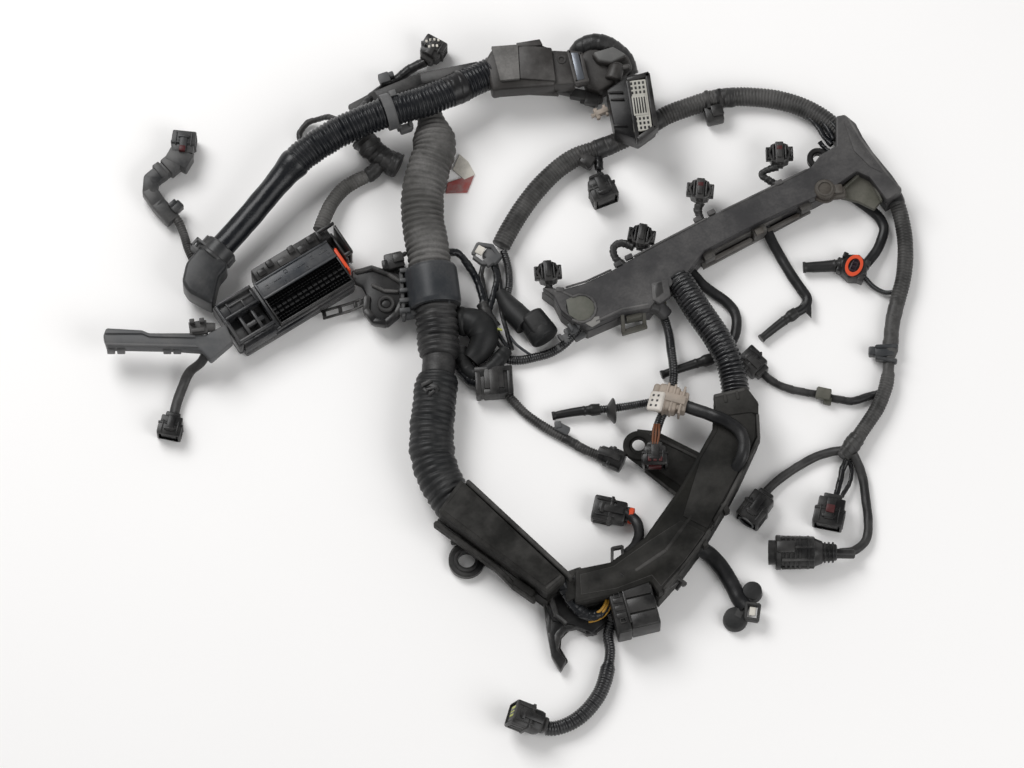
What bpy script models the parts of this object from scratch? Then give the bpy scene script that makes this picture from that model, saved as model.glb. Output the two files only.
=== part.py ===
"""Wiring harness: corrugated trunks, cable ducts, a rail of connectors and loose leads.

Metres, +Z up, the floor at z = 0. Places are written as on the harness's layout board: millimetres
to the right and down from the board's top left corner, then the height above the floor. The board
is read from a view tilted from straight overhead, so a raised point is read a little further up.
"""

import math
from collections import namedtuple

import bmesh
import bpy
from mathutils import Matrix, Vector

# A trunk or lead: its diameter, the spacing of its points and its route, in millimetres
Line = namedtuple("Line", "diameter step places")
# A box-shaped plug: its middle on the board, size, turn in degrees, and its rounded edges
Plug = namedtuple("Plug", "place size turn soft segments", defaults=(1,))

# The layout board, and the place on it of the part's origin, on the rail's flat underside
MM = 0.001
ORIGIN_ACROSS = 700.0
ORIGIN_DOWN = 248.0
VIEW_ANGLE = math.radians(70.0)

# Clearances and curve quality, millimetres
GAP = 0.3
WELD = 0.000001
SAMPLES = 14
CORD_STEP = 16.0
TIGHT_STEP = 12.0
FINE_STEP = 9.0
CLOSE_STEP = 5.0
SOFT_EDGE = 1.6
HOLE_SIDES = 16

# Trunk sizes, millimetres
SLEEVE_D = 25.0
SLEEVE_LENGTH = 128.0
LEFT_D = 32.0
LEFT_PITCH = 4.3
CENTRE_D = 44.0
CENTRE_PITCH = 7.4
CENTRE_LENGTH = 232.0
CENTRE_STUB_D = 27.0
CENTRE_STUB_LENGTH = 24.0
WRAP_NECK_D = 33.0
WRAP_NECK_LENGTH = 27.0
WRAP_DEPTH = 8.0
WRAP_D = 46.0
DROP_D = 28.0
DROP_PITCH = 5.0
LOOP_D = 19.5
SIDE_D = 16.0
SIDE_NARROW_D = 11.5
SIDE_KNOT_D = 20.0
RIB_DEPTH = 0.11
SLEEVE_DEPTH = 9.0

# Clamp bands, millimetres
BAND_WALL = 2.6
BAND_LENGTH = 9.0
TRUNK_BAND_LENGTH = 27.0
TRUNK_BAND_WALL = 2.4
CLAMP_AT = 232.0
TRUNK_CLAMP_AT = 162.0

# Lead sizes, millimetres
LEAD_D = 9.0
SMALL_LEAD_D = 8.0
TOP_LEAD_D = 10.0
SENSOR_ELBOW_D = 17.0
CABLE_D = 11.0
CORNER_D = 14.0
BRANCH_D = 14.0
BUNDLE_D = 27.0
RAIL_WIRES_D = 11.0
CENTRE_BUNDLE_D = 15.0
HANGING_SLEEVE_D = 9.0
ROUND_CAP_R = 15.0

# Rail, millimetres
RAIL_SPLIT = 20.0
RAIL_TOP = 34.0
RAIL_FLOOR = 3.0
RAIL_WALL = 3.0
RAIL_RECESS_R = 14.0
RAIL_RECESS_DEPTH = 1.6
RAIL_RECESS_PLACE = (580.0, 307.0)

# Trough and lower left cover, millimetres
TROUGH_SPLIT = 22.0
TROUGH_TOP = 42.0
PLATE_BOTTOM = 12.0
PLATE_TOP = 16.0
RING_R = 13.5
RING_HOLE_R = 6.5
RING_PLACE = (638.0, 445.0)
COVER_SPLIT = 26.0
COVER_TOP = 52.0
LUG_R = 18.0
LUG_HOLE_R = 8.7
LUG_HEIGHT = 7.0
LUG_PLACE = (467.0, 559.0)
LUG_ARM = Plug((487.0, 551.0, LUG_HEIGHT / 2), (34.0, 24.0, LUG_HEIGHT), 20.0, 0.0)

# Upper duct and hub, millimetres
DUCT_BOTTOM = 24.0
DUCT_TOP = 54.0
DUCT_KEEL = Plug((525.0, 66.0, 13.0), (52.0, 22.0, 26.0), 0.0, 0.0)
SCREW_PLACE = (562.0, 57.0)
SCREW_DEPTH = 6.0
DOME_PLACE = (616.0, 62.0)
HUB_TOP = 50.0
DOME_R = 9.5
DOME_HEIGHT = 9.0
SCREW_HOLE_R = 2.6
STEEL_TOP = 58.0

# Junction box, millimetres
BOX_BOTTOM = LOOP_D + 2 * GAP
BOX_TOP = 56.0
TERMINALS_THICKNESS = 4.0
TERMINALS_PLACE = (640.0, 106.0)
TERMINALS_SIZE = (18.0, 54.0)
TERMINALS_TURN = 7.0

# Control unit connector: its own frame is turned on the board, millimetres and degrees
ECU_CENTRE = (300.0, 277.0)
ECU_TURN = 33.0
ECU_BASE_HEIGHT = 28.0
ECU_BLOCK_HEIGHT = 9.0
ECU_RIM_HEIGHT = 42.0
ECU_COVER_HEIGHT = 36.0
ECU_LEVER_HEIGHT = 46.0
ECU_SEAL_THICKNESS = 3.0
ECU_DECK = ECU_BASE_HEIGHT + GAP
ECU_END = 44.0
ECU_HOUSING_BOX = ((-84, -32, 0), (ECU_END, 20, ECU_BASE_HEIGHT))
ECU_RIM_BOX = ((-38, 19, 4), (50, 34, ECU_RIM_HEIGHT))
ECU_COVER_BOX = ((-90, -30, 8), (-45, 24, ECU_COVER_HEIGHT))
ECU_TERMINAL_BOX = ((-43, -1, ECU_DECK), (43, 18.7, ECU_DECK + ECU_BLOCK_HEIGHT))
ECU_PIN_BOX = ((-42, -31, ECU_DECK), (42, -1 - GAP, ECU_DECK + ECU_BLOCK_HEIGHT - 2))
ECU_SEAL_BOX = ((ECU_END + GAP, -22, 6), (ECU_END + ECU_SEAL_THICKNESS, 8, ECU_COVER_HEIGHT))
ECU_LEVER_BOX = ((50 + GAP, -8, 0), (58, 25, ECU_LEVER_HEIGHT))

# Left hand covers, millimetres
ELBOW_BOTTOM = 10.0
ELBOW_TOP = 44.0
ARM_BOTTOM = 24.0
ARM_TOP = 42.0

# Injector connectors, millimetres
INJECTOR_WIDTH = 26.0
INJECTOR_HEIGHT = 22.0
INJECTOR_STEM = 15.0
INJECTOR_LEVEL = 25.0
INJECTOR_PLACES = ((548, 273), (642, 236), (701, 190), (781, 153))
INJECTOR_ROOTS = ((558, 294), (636, 262), (706, 220), (772, 186))

# Pencil boots of the glow plug leads, millimetres
BOOT_D = 9.0
BOOT_TIP_D = 6.0
BOOT_COLLAR_D = 12.0
BOOT_STEP = 7.0

# Clamp bracket's plate, millimetres
BRACKET_BOTTOM = 14.0
BRACKET_TOP = 19.0

# Board outlines, each with the points that its shape needs
RAIL_OUTLINE = (
    (542, 287), (563, 289), (584, 283), (610, 271), (660, 242), (709, 216), (763, 189),
    (813, 165), (822, 153), (838, 144), (838, 114), (847, 112), (858, 121), (865, 135),
    (874, 149), (894, 174), (904, 189), (888, 199), (871, 176), (858, 170), (838, 184),
    (816, 196), (765, 219), (705, 250), (684, 276), (662, 292), (650, 308), (620, 313),
    (588, 327), (574, 321), (561, 310), (554, 296),
)
TROUGH_OUTLINE = (
    (713, 396), (746, 389), (756, 402), (757, 434), (739, 472), (724, 500), (700, 539),
    (678, 568), (657, 591), (649, 579), (611, 592), (574, 600), (574, 566), (609, 559),
    (643, 535), (676, 489), (695, 456), (711, 428),
)
PLATE_OUTLINE = (
    (637, 429), (656, 431), (708, 457), (700, 480), (686, 500), (646, 470), (630, 458),
)
LEFT_COVER_OUTLINE = ((461, 477), (566, 575), (547, 590), (438, 510))
HOOK_OUTLINE = (
    (543, 590), (548, 620), (551, 645), (560, 666), (567, 657), (560, 645), (561, 634),
    (568, 627), (572, 621), (571, 600), (566, 588),
)
DUCT_OUTLINE = (
    (484, 54), (491, 43), (541, 36), (551, 44), (560, 47), (569, 47), (577, 82), (553, 84),
    (500, 86), (492, 89),
)
HUB_OUTLINE = (
    (578.9, 50), (585, 37), (595, 34), (620, 44), (636, 52), (636, 62), (632, 69.2), (606, 85.2),
    (602, 95), (588, 97), (585.6, 77),
)
STEEL_OUTLINE = ((570.6, 50), (578, 50), (585.2, 77), (577.4, 80))
BOX_OUTLINE = ((606, 84), (632, 68), (651, 71), (659, 131), (639, 146), (615, 136))
ELBOW_OUTLINE = (
    (203, 240), (226, 262), (232, 265), (221, 275), (213, 304), (186, 290), (181, 279),
)
ARM_OUTLINE = (
    (103, 335), (106, 326), (143, 328), (191, 331), (191, 322), (206, 312), (225, 322),
    (235.5, 340), (212, 360), (201, 349), (175, 348), (124, 347), (108, 348),
)
BRACKET_OUTLINE = (
    (357, 272), (375, 268), (410, 278), (414, 306), (392, 316), (380, 326), (366, 316),
    (368, 300), (372, 290),
)

BRACKET_HOLES = ((387, 292, 4.0), (381, 306, 4.0))

# Plugs and boots, read off the board
BOX_PLUG = Plug((634, 609, 13.0), (42.0, 38.0, 26.0), 18.0, 2.5)
RELAY_PLUG = Plug((493, 387, 9.0), (40.0, 30.0, 18.0), 4.0, 2.0)
BOOT_BODY = Plug((531, 321, 13.0), (56.0, 30.0, 26.0), -38.0, 8.0, 3)
SENSOR_PLUG = Plug((180, 147, 14.0), (27.0, 25.0, 24.0), 42.0, 2.0)
ARM_PLUG = Plug((172, 426, 9.0), (25.0, 24.0, 18.0), -12.0, 2.0)
TOP_PLUG = Plug((431, 48, 13.0), (25.0, 24.0, 26.0), 30.0, 4.0, 2)
HANGING_PLUG = Plug((602, 188, 13.0), (31.0, 30.0, 26.0), 20.0, 4.0, 2)
ORANGE_PLUG = Plug((855, 271, 9.5), (30.0, 22.0, 19.0), -35.0, 2.0)
BEIGE_PLUG = Plug((668, 400, 36.0), (38.0, 30.0, 20.0), -18.0, 4.0, 2)
SIDE_PLUG = Plug((753, 364, 9.0), (26.0, 22.0, 18.0), -45.0, 2.0)
BREAKOUT_A_PLUG = Plug((755, 507, 10.0), (36.0, 26.0, 20.0), 55.0, 3.0, 2)
BREAKOUT_B_PLUG = Plug((828, 511, 11.0), (32.0, 30.0, 22.0), 78.0, 3.0, 2)
DUCT_PLUG = Plug((611, 511, 9.0), (38.0, 24.0, 18.0), -12.0, 3.0)
BOTTOM_PLUG = Plug((528, 716, 14.0), (36.0, 28.0, 26.0), 10.0, 3.0, 2)
COVER_PLUG = Plug((608, 458, 11.0), (26.0, 21.0, 20.0), -20.0, 4.0, 2)
DROP_PLUG = Plug((654, 454, 28.5), (24.0, 24.0, 20.0), 0.0, 2.0)

# Round pieces, read off the board
BARREL_D = 35.0
BARREL_PLACES = ((838, 551, 18), (800, 551, 18), (770, 551, 18))
ROUND_CAP_PLACE = (477, 337, 13.0)
ROUND_CAP_HEIGHT = 25.0
CORNER_DISC_PLACE = (743, 610, 10.0)
CORNER_DISC_R = 14.0
CORNER_DISC_HEIGHT = 20.0
FLANGE_PLACE = (610, 411, 13.6)
FLANGE_THICKNESS = 4.0
FLANGE_LEAN = 80.0
FLANGE_TURN = 8.0

# Stations along the side conduit: share of its length and diameter
SIDE_STATIONS = (
    (0.0, SIDE_D), (0.55, SIDE_D), (0.6, SIDE_NARROW_D), (0.66, SIDE_NARROW_D),
    (0.7, SIDE_D), (0.93, SIDE_D), (0.97, SIDE_KNOT_D), (1.0, SIDE_KNOT_D),
)

# Routes of trunks and leads: places on the layout board, chosen by hand
LEFT_LINE = Line(LEFT_D, CLOSE_STEP, (
    (213, 256, 28), (240, 226, 30), (261, 201, 33), (280, 178, 36), (300, 156, 40),
    (326, 138, 44), (359, 121, 48), (392, 109, 49), (424, 100, 47), (457, 86, 42),
    (483, 74, 36), (502, 65, 34),
))
CENTRE_LINE = Line(WRAP_D, FINE_STEP, (
    (429, 114, 18), (432, 128, 20), (434, 148, 23), (428, 168, 24), (423, 188, 24),
    (422, 208, 24), (424, 230, 25), (428, 250, 26.5), (430, 268, 27.5), (433, 288, 27.5),
    (436, 312, 26.5), (438, 336, 24), (439, 360, 24), (437, 384, 24), (434, 410, 24),
    (432, 432, 24), (433, 455, 24), (440, 478, 24), (452, 498, 24), (462, 508, 24),
))
DROP_LINE = Line(DROP_D, CLOSE_STEP, (
    (678, 279, 22), (688, 294, 25), (697, 309, 28), (708, 325, 30), (718, 340, 31),
    (727, 358, 30), (732, 374, 27), (735, 392, 24), (736, 406, 23),
))
LOOP_LINE = Line(LOOP_D, TIGHT_STEP, (
    (843, 132, 14), (828, 118, 13), (806, 105, 11), (779, 97, 10), (752, 94, 10),
    (724, 95, 10), (697, 102, 10), (672, 111, 10), (650, 123, 10), (628, 135, 10),
    (603, 146, 10), (577, 155, 10), (554, 171, 10), (535, 191, 10), (519, 213, 10),
    (507, 233, 10), (501, 245, 10),
))
SIDE_LINE = Line(SIDE_D, FINE_STEP, (
    (893, 190, 12), (901, 208, 11), (906, 232, 10), (907, 256, 10), (904, 280, 10),
    (898, 302, 9), (893, 323, 9), (891, 343, 9), (889, 362, 9), (886, 384, 9),
    (877, 407, 9), (863, 428, 10), (850, 446, 11), (841.5, 457, 11),
))
RAIL_WIRES_LINE = Line(RAIL_WIRES_D, CORD_STEP, (
    (577, 313, 8.9), (610, 299, 8.9), (650, 276, 8.9), (700, 246, 8.9), (750, 222, 8.9),
    (800, 197, 8.9), (828, 181, 8.9), (847, 166, 8.9), (862, 163, 8.9),
))
JUNCTION_LINE = Line(BUNDLE_D, TIGHT_STEP, (
    (360, 136, 14), (370, 146, 14), (383, 157, 14), (398, 164, 14),
))
ECU_BRANCH_LINE = Line(BRANCH_D, FINE_STEP, (
    (380, 161, 12), (370, 172, 9), (356, 179, 8.5), (342, 188, 10), (332, 200, 14),
    (325, 214, 18), (319, 230, 20),
))
CENTRE_BUNDLE_LINE = Line(CENTRE_BUNDLE_D, TIGHT_STEP, (
    (470, 340, 9), (469, 355, 8.5), (472, 367, 8.5), (480, 376, 8.5), (489, 372, 8.5),
    (496, 362, 8.5), (501, 352, 9),
))
RAIL_TAIL_LINE = Line(LEAD_D, CORD_STEP, (
    (499, 358, 8.5), (511, 360, 6), (522, 360, 5), (536, 357, 5), (550, 353, 6), (562, 346, 9),
    (573, 335, 14), (582, 322, 17),
))
BOOT_LINE = Line(SMALL_LEAD_D, FINE_STEP, (
    (501, 241, 9), (505, 257, 6), (510, 271, 5), (511, 286, 7), (519, 304, 12),
))
HANGING_LINE = Line(HANGING_SLEEVE_D, CORD_STEP, (
    (597, 150, 10), (599, 160, 8), (600, 172, 8), (602, 182, 9),
))
SENSOR_LEAD_LINE = Line(LEAD_D, CORD_STEP, (
    (166, 208, 12), (176, 220, 11), (182, 233, 11), (187, 248, 13), (196, 266, 18),
))
ARM_BRANCH_LINE = Line(LEAD_D, TIGHT_STEP, (
    (208, 352, 30), (201, 363, 22), (190, 372, 12), (183, 387, 7), (177, 404, 6), (174, 418, 8),
))
TOP_LEAD_LINE = Line(TOP_LEAD_D, CORD_STEP, (
    (424, 58, 12), (410, 65, 8), (398, 74, 7), (385, 83, 8), (372, 93, 15), (362, 106, 30),
    (358, 117, 42),
))
SENSOR_ELBOW_LINE = Line(SENSOR_ELBOW_D, FINE_STEP, (
    (178, 151, 14), (166, 162, 13.5), (152, 174, 12), (147, 185, 11), (155, 198, 11), (170, 212, 11.5),
))
GLOW_1_LINE = Line(LEAD_D, TIGHT_STEP, (
    (846, 184, 11), (856, 196, 8), (868, 205, 5.5), (880, 215, 5.5), (886, 227, 5.5),
    (883, 240, 5.5), (877, 252, 7), (868, 263, 9),
))
GLOW_2_LINE = Line(LEAD_D, TIGHT_STEP, (
    (767, 224, 11), (772, 238, 8), (781, 255, 5.5), (792, 274, 5.5), (802, 289, 5.5),
    (808, 299, 5.5), (804, 308, 6.2), (792, 315, 6.2),
))
GLOW_3_LINE = Line(LEAD_D, TIGHT_STEP, (
    (692, 272, 11), (704, 285, 8), (716, 294, 5.5), (727, 302, 5.5), (735, 312, 5.5),
    (737, 325, 5.5), (733, 340, 5.5), (722, 353, 6.2), (708, 360, 6.2),
))
GLOW_4_LINE = Line(SMALL_LEAD_D, TIGHT_STEP, (
    (668, 399, 15), (657, 401, 9), (645, 403, 5.5), (634, 405, 5.5), (622, 407, 7), (606, 409, 8.5),
    (588, 410, 8.5),
))
GLOW_1_BOOT = ((852, 264, 7.5), (826, 266, 6.5), (804, 267, 6.5))
GLOW_2_BOOT = ((797, 312, 6.2), (780, 324, 6.2), (761, 339, 6.2))
GLOW_3_BOOT = ((714, 358, 6.2), (688, 366, 6.2), (661, 375, 6.2))
GLOW_4_BOOT = ((600, 409, 8.5), (574, 412, 7.5), (552, 416, 6.5))
GLOW_FLANGE_D = 27.0
DROP_LEAD_LINE = Line(LEAD_D, TIGHT_STEP, (
    (655, 302, 11), (664, 317, 9), (669, 334, 11), (671, 350, 17), (673, 366, 19),
    (673, 380, 18), (670, 394, 18), (665, 408, 18), (659, 421, 20), (655, 434, 25), (654, 450, 28),
))
BEIGE_LINE = Line(CABLE_D, FINE_STEP, (
    (676, 402, 36), (690, 408, 38), (702, 412, 43), (713, 416, 48.5), (727, 422, 49.5),
    (738, 431, 49.5), (742, 443, 49.5), (740, 455, 48), (735, 465, 42), (731, 473, 34),
))
DUCT_LEAD_LINE = Line(LEAD_D, TIGHT_STEP, (
    (624, 512, 12), (635, 520, 14), (638, 533, 20), (633, 545, 28), (624, 553, 33),
))
BOTTOM_LINE = Line(LEAD_D, CORD_STEP, (
    (611, 618, 12), (607, 632, 8), (609, 648, 6), (607, 663, 6), (603, 679, 7), (597, 692, 7.5),
    (586, 706, 7.5), (572, 717, 7.5), (556, 723, 7.5), (545, 723, 9),
))
CORNER_LINE = Line(CORNER_D, CORD_STEP, (
    (688, 545, 14), (700, 548, 11), (711, 556, 8), (721, 568, 7.5), (730, 583, 7.5),
    (737, 597, 8), (744, 606, 9),
))
COVER_LEAD_LINE = Line(LEAD_D, CORD_STEP, (
    (505, 392, 8), (514, 402, 6), (525, 413, 5), (540, 424, 5), (555, 433, 5), (570, 441, 5),
    (584, 449, 5), (596, 454, 6), (606, 458, 9),
))
ORANGE_LINE = Line(SMALL_LEAD_D, TIGHT_STEP, (
    (864, 275, 8), (874, 286, 5), (885, 292, 5), (893, 292, 6),
))
SIDE_LEAD_LINE = Line(SMALL_LEAD_D, CORD_STEP, (
    (880, 393, 6), (866, 397, 4.5), (852, 401, 4.5), (836, 399, 4.5), (820, 395, 4.5),
    (803, 392, 4.5), (786, 388, 4.5), (772, 381, 5.5), (760, 371, 8),
))
BREAKOUT_A_LINE = Line(SMALL_LEAD_D, TIGHT_STEP, (
    (842, 450, 9), (829, 452, 6), (814, 457, 4.5), (799, 465, 4.5), (785, 474, 4.5),
    (773, 483, 6), (763, 493, 8),
))
BREAKOUT_B_LINE = Line(SMALL_LEAD_D, TIGHT_STEP, (
    (845.5, 459.5, 8), (841, 470, 6), (838, 482, 7), (833, 498, 10),
))
BREAKOUT_C_LINE = Line(SMALL_LEAD_D, TIGHT_STEP, (
    (852, 454, 11), (858, 467, 5.5), (862, 482, 4.5), (864, 500, 4.5), (866, 520, 4.5),
    (864, 538, 5), (852, 549, 8), (838, 551, 11),
))


def board(place):
    """World place, in metres, of a place on the layout board."""
    across, down, height = place
    side = (ORIGIN_DOWN - down) / math.sin(VIEW_ANGLE) - height / math.tan(VIEW_ANGLE)
    return Vector((across - ORIGIN_ACROSS, side, height)) * MM


def smooth_route(places):
    """Many points along one smooth curve through a route's places."""
    knots = [board(place) for place in places]
    ends = [2 * knots[0] - knots[1]] + knots + [2 * knots[-1] - knots[-2]]
    points = []
    for index in range(len(knots) - 1):
        before, start, end, after = ends[index:index + 4]
        for step in range(SAMPLES):
            share = step / SAMPLES
            pull = 2 * start + (end - before) * share
            pull += (2 * before - 5 * start + 4 * end - after) * share ** 2
            pull += (3 * start - before - 3 * end + after) * share ** 3
            points.append(pull * 0.5)
    points.append(knots[-1])
    return points


def route_length(points):
    """Length of a line of points, in millimetres."""
    return sum((b - a).length for a, b in zip(points, points[1:])) / MM


def point_at(points, distance):
    """The point that lies a distance, in millimetres, along a line of points."""
    left = distance * MM
    for start, end in zip(points, points[1:]):
        span = (end - start).length
        if left <= span:
            return start.lerp(end, left / span)
        left -= span
    over = (points[-1] - points[-2]).normalized()
    return points[-1] + over * left


def stretch(points, start, end, step):
    """Evenly spaced points between two distances along a line of points."""
    count = max(1, round((end - start) / step))
    return [point_at(points, start + (end - start) * index / count) for index in range(count + 1)]


def whole(line):
    """Evenly spaced points along the whole of a line's route."""
    points = smooth_route(line.places)
    return stretch(points, 0.0, route_length(points), line.step)


def clear_scene():
    """Remove everything from the scene and make the two collections."""
    for item in list(bpy.data.objects):
        bpy.data.objects.remove(item)
    groups = {}
    for name in ("wiring_harness", "cutters"):
        groups[name] = bpy.data.collections.new(name)
        bpy.context.scene.collection.children.link(groups[name])
    return groups


def plastic(name, colour, roughness, metallic=0.0):
    """A plain moulded, taped or metal finish."""
    material = bpy.data.materials.new(name)
    material.use_nodes = True
    shader = material.node_tree.nodes["Principled BSDF"]
    shader.inputs["Base Color"].default_value = (*colour, 1.0)
    shader.inputs["Roughness"].default_value = roughness
    shader.inputs["Metallic"].default_value = metallic
    return material


GROUPS = clear_scene()
GLOSSY = plastic("glossy_conduit", (0.012, 0.014, 0.02), 0.3)
DUSTY = plastic("dusty_conduit", (0.05, 0.047, 0.04), 0.6)
BLACK = plastic("black_plastic", (0.015, 0.015, 0.016), 0.45)
RAIL_GREY = plastic("rail_plastic", (0.035, 0.034, 0.035), 0.62)
DUCT_GREY = plastic("duct_plastic", (0.055, 0.05, 0.045), 0.65)
TAPE = plastic("cloth_tape", (0.02, 0.02, 0.019), 0.75)
RUBBER = plastic("rubber", (0.014, 0.014, 0.014), 0.55)
CLIP_GREEN = plastic("clip_plastic", (0.12, 0.12, 0.085), 0.6)
TERMINAL_GREY = plastic("terminal_plastic", (0.16, 0.16, 0.15), 0.55)
TERMINAL_WHITE = plastic("fuse_face", (0.5, 0.48, 0.43), 0.55)
BEIGE = plastic("beige_plastic", (0.25, 0.22, 0.18), 0.6)
ORANGE = plastic("orange_seal", (0.5, 0.09, 0.03), 0.5)
STEEL = plastic("bare_steel", (0.4, 0.39, 0.38), 0.4, 1.0)


def keep(item, material):
    """Put a finished object in the harness's collection with its material."""
    GROUPS["wiring_harness"].objects.link(item)
    item.data.materials.clear()
    item.data.materials.append(material)
    return item


def guide(item):
    """Put an object that only cuts or joins in the cutters' collection."""
    GROUPS["cutters"].objects.link(item)
    item.hide_render = True
    item.display_type = "WIRE"
    return item


def curve_tube(name, points, radii, level):
    """A capped tube along points, with its own radius, in millimetres, at each."""
    curve = bpy.data.curves.new(name, "CURVE")
    curve.dimensions = "3D"
    curve.bevel_depth = MM
    curve.bevel_resolution = level
    curve.use_fill_caps = True
    curve.render_resolution_u = 0
    spline = curve.splines.new("POLY")
    spline.points.add(len(points) - 1)
    for spot, point, radius in zip(spline.points, points, radii):
        spot.co = (*point, 1.0)
        spot.radius = radius
    spline.use_smooth = True
    return bpy.data.objects.new(name, curve)


def as_mesh(item):
    """The same shape as a mesh with its caps welded on; the curve is removed."""
    scene = bpy.context.scene.collection
    scene.objects.link(item)
    bpy.context.view_layer.update()
    evaluated = item.evaluated_get(bpy.context.evaluated_depsgraph_get())
    mesh = bpy.data.meshes.new_from_object(evaluated)
    edit = bmesh.new()
    edit.from_mesh(mesh)
    bmesh.ops.remove_doubles(edit, verts=edit.verts, dist=WELD)
    edit.to_mesh(mesh)
    edit.free()
    name = item.name
    place = item.matrix_world.copy()
    bpy.data.objects.remove(item)
    solid = bpy.data.objects.new(name, mesh)
    solid.matrix_world = place
    return solid


def plain_tube(name, points, diameter, level=2):
    """A capped tube of one diameter along points."""
    return curve_tube(name, points, [diameter / 2] * len(points), level)


def pipe(name, points, diameter, level=2):
    """A plain mesh tube along points."""
    return as_mesh(plain_tube(name, points, diameter, level))


def ribbed(name, line, start, pitch, level):
    """A corrugated tube from a start to its route's end: a crest and a groove for each rib."""
    route = smooth_route(line.places)
    points = stretch(route, start, route_length(route), pitch / 2)
    crest = line.diameter / 2
    groove = crest * (1.0 - RIB_DEPTH)
    radii = [groove if index % 2 else crest for index in range(len(points))]
    return curve_tube(name, points, radii, level)


def shaped_pipe(name, points, stations, level=3):
    """A tube whose diameter follows stations of (share of its length, diameter)."""
    radii = []
    for index in range(len(points)):
        share = index / (len(points) - 1)
        for (low, first), (high, second) in zip(stations, stations[1:]):
            if low <= share <= high:
                mix = (share - low) / (high - low)
                radius = (first + (second - first) * mix) / 2
        radii.append(radius)
    return as_mesh(curve_tube(name, points, radii, level))


def slab(name, outline, bottom, top, read_at=None, holes=()):
    """A flat outline, read on the board at its top face or another height, made an upright slab.

    Each hole is (across, down, radius) on the same board.
    """
    level = top if read_at is None else read_at
    curve = bpy.data.curves.new(name, "CURVE")
    curve.dimensions = "2D"
    curve.fill_mode = "BOTH"
    curve.extrude = (top - bottom) * MM / 2
    curve.render_resolution_u = 0
    spline = curve.splines.new("POLY")
    spline.points.add(len(outline) - 1)
    for spot, (across, down) in zip(spline.points, outline):
        place = board((across, down, level))
        spot.co = (place.x, place.y, 0.0, 1.0)
    spline.use_cyclic_u = True
    for across, down, radius in holes:
        middle = board((across, down, level))
        ring = curve.splines.new("POLY")
        ring.points.add(HOLE_SIDES - 1)
        for index, spot in enumerate(ring.points):
            turn = 2 * math.pi * index / HOLE_SIDES
            rise = math.sin(turn) * radius * MM
            spot.co = (middle.x + math.cos(turn) * radius * MM, middle.y + rise, 0.0, 1.0)
        ring.use_cyclic_u = True
    item = bpy.data.objects.new(name, curve)
    item.location = (0.0, 0.0, (top + bottom) * MM / 2)
    solid = as_mesh(item)
    edit = bmesh.new()
    edit.from_mesh(solid.data)
    flat = math.radians(0.5)
    bmesh.ops.dissolve_limit(edit, angle_limit=flat, verts=edit.verts, edges=edit.edges)
    bmesh.ops.recalc_face_normals(edit, faces=edit.faces)
    edit.to_mesh(solid.data)
    edit.free()
    return solid


def inset(outline, wall):
    """An outline moved inwards by a wall's thickness on the board."""
    area = sum(a[0] * b[1] - b[0] * a[1] for a, b in zip(outline, outline[1:] + outline[:1]))
    side = 1.0 if area > 0 else -1.0
    moved = []
    for index, corner in enumerate(outline):
        here = Vector(corner)
        back = (here - Vector(outline[index - 1])).normalized()
        ahead = (Vector(outline[(index + 1) % len(outline)]) - here).normalized()
        normals = [Vector((-way.y, way.x)) * side for way in (back, ahead)]
        middle = (normals[0] + normals[1]).normalized()
        moved.append(here + middle * (wall / max(0.4, middle.dot(normals[0]))))
    return [tuple(corner) for corner in moved]


def block(name, place, size, turn=0.0, tip=0.0, lean=0.0):
    """A box about a place on the board, turned in the board's plane, in degrees."""
    edit = bmesh.new()
    bmesh.ops.create_cube(edit, size=1.0)
    bmesh.ops.scale(edit, vec=Vector(size) * MM, verts=edit.verts)
    mesh = bpy.data.meshes.new(name)
    edit.to_mesh(mesh)
    edit.free()
    item = bpy.data.objects.new(name, mesh)
    item.location = board(place)
    item.rotation_euler = (math.radians(tip), math.radians(lean), math.radians(turn))
    return item


def plug_body(plug):
    """The softened box of a plug."""
    return soften(block("plug", plug.place, plug.size, plug.turn), plug.soft, plug.segments)


def plug_room(plug):
    """The room that a plug needs: a clearance outside it on every side."""
    return block("plug_room", plug.place, [side + 2 * GAP for side in plug.size], plug.turn)


def drum(name, place, radius, height, sides=16, top_radius=None, turn=0.0, tip=0.0):
    """A cylinder or cone about a place on the board."""
    edit = bmesh.new()
    upper = radius if top_radius is None else top_radius
    bmesh.ops.create_cone(
        edit, cap_ends=True, segments=sides, radius1=radius * MM, radius2=upper * MM, depth=height * MM
    )
    mesh = bpy.data.meshes.new(name)
    edit.to_mesh(mesh)
    edit.free()
    item = bpy.data.objects.new(name, mesh)
    item.location = board(place)
    item.rotation_euler = (math.radians(tip), 0.0, math.radians(turn))
    return item


def soften(item, width=SOFT_EDGE, segments=1):
    """Round the sharp edges."""
    edge = item.modifiers.new("soft_edges", "BEVEL")
    edge.width = width * MM
    edge.segments = segments
    edge.limit_method = "ANGLE"
    edge.angle_limit = math.radians(40.0)
    edge.use_clamp_overlap = True
    return item


def boolean(item, other, operation):
    """Join or cut one object with another, which stays as a guide."""
    change = item.modifiers.new(operation.lower(), "BOOLEAN")
    change.operation = operation
    change.solver = "EXACT"
    change.object = guide(other)
    return item


def join(item, *others):
    """Fuse others to an object."""
    for other in others:
        boolean(item, other, "UNION")
    return item


def cut(item, *others):
    """Cut others out of an object."""
    for other in others:
        boolean(item, other, "DIFFERENCE")
    return item


def round_bore(diameter, level):
    """Diameter of a many-sided bore that clears a round of a diameter on every side."""
    sides = 4 + 2 * level
    return diameter / math.cos(math.pi / sides) + 2 * GAP


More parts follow.
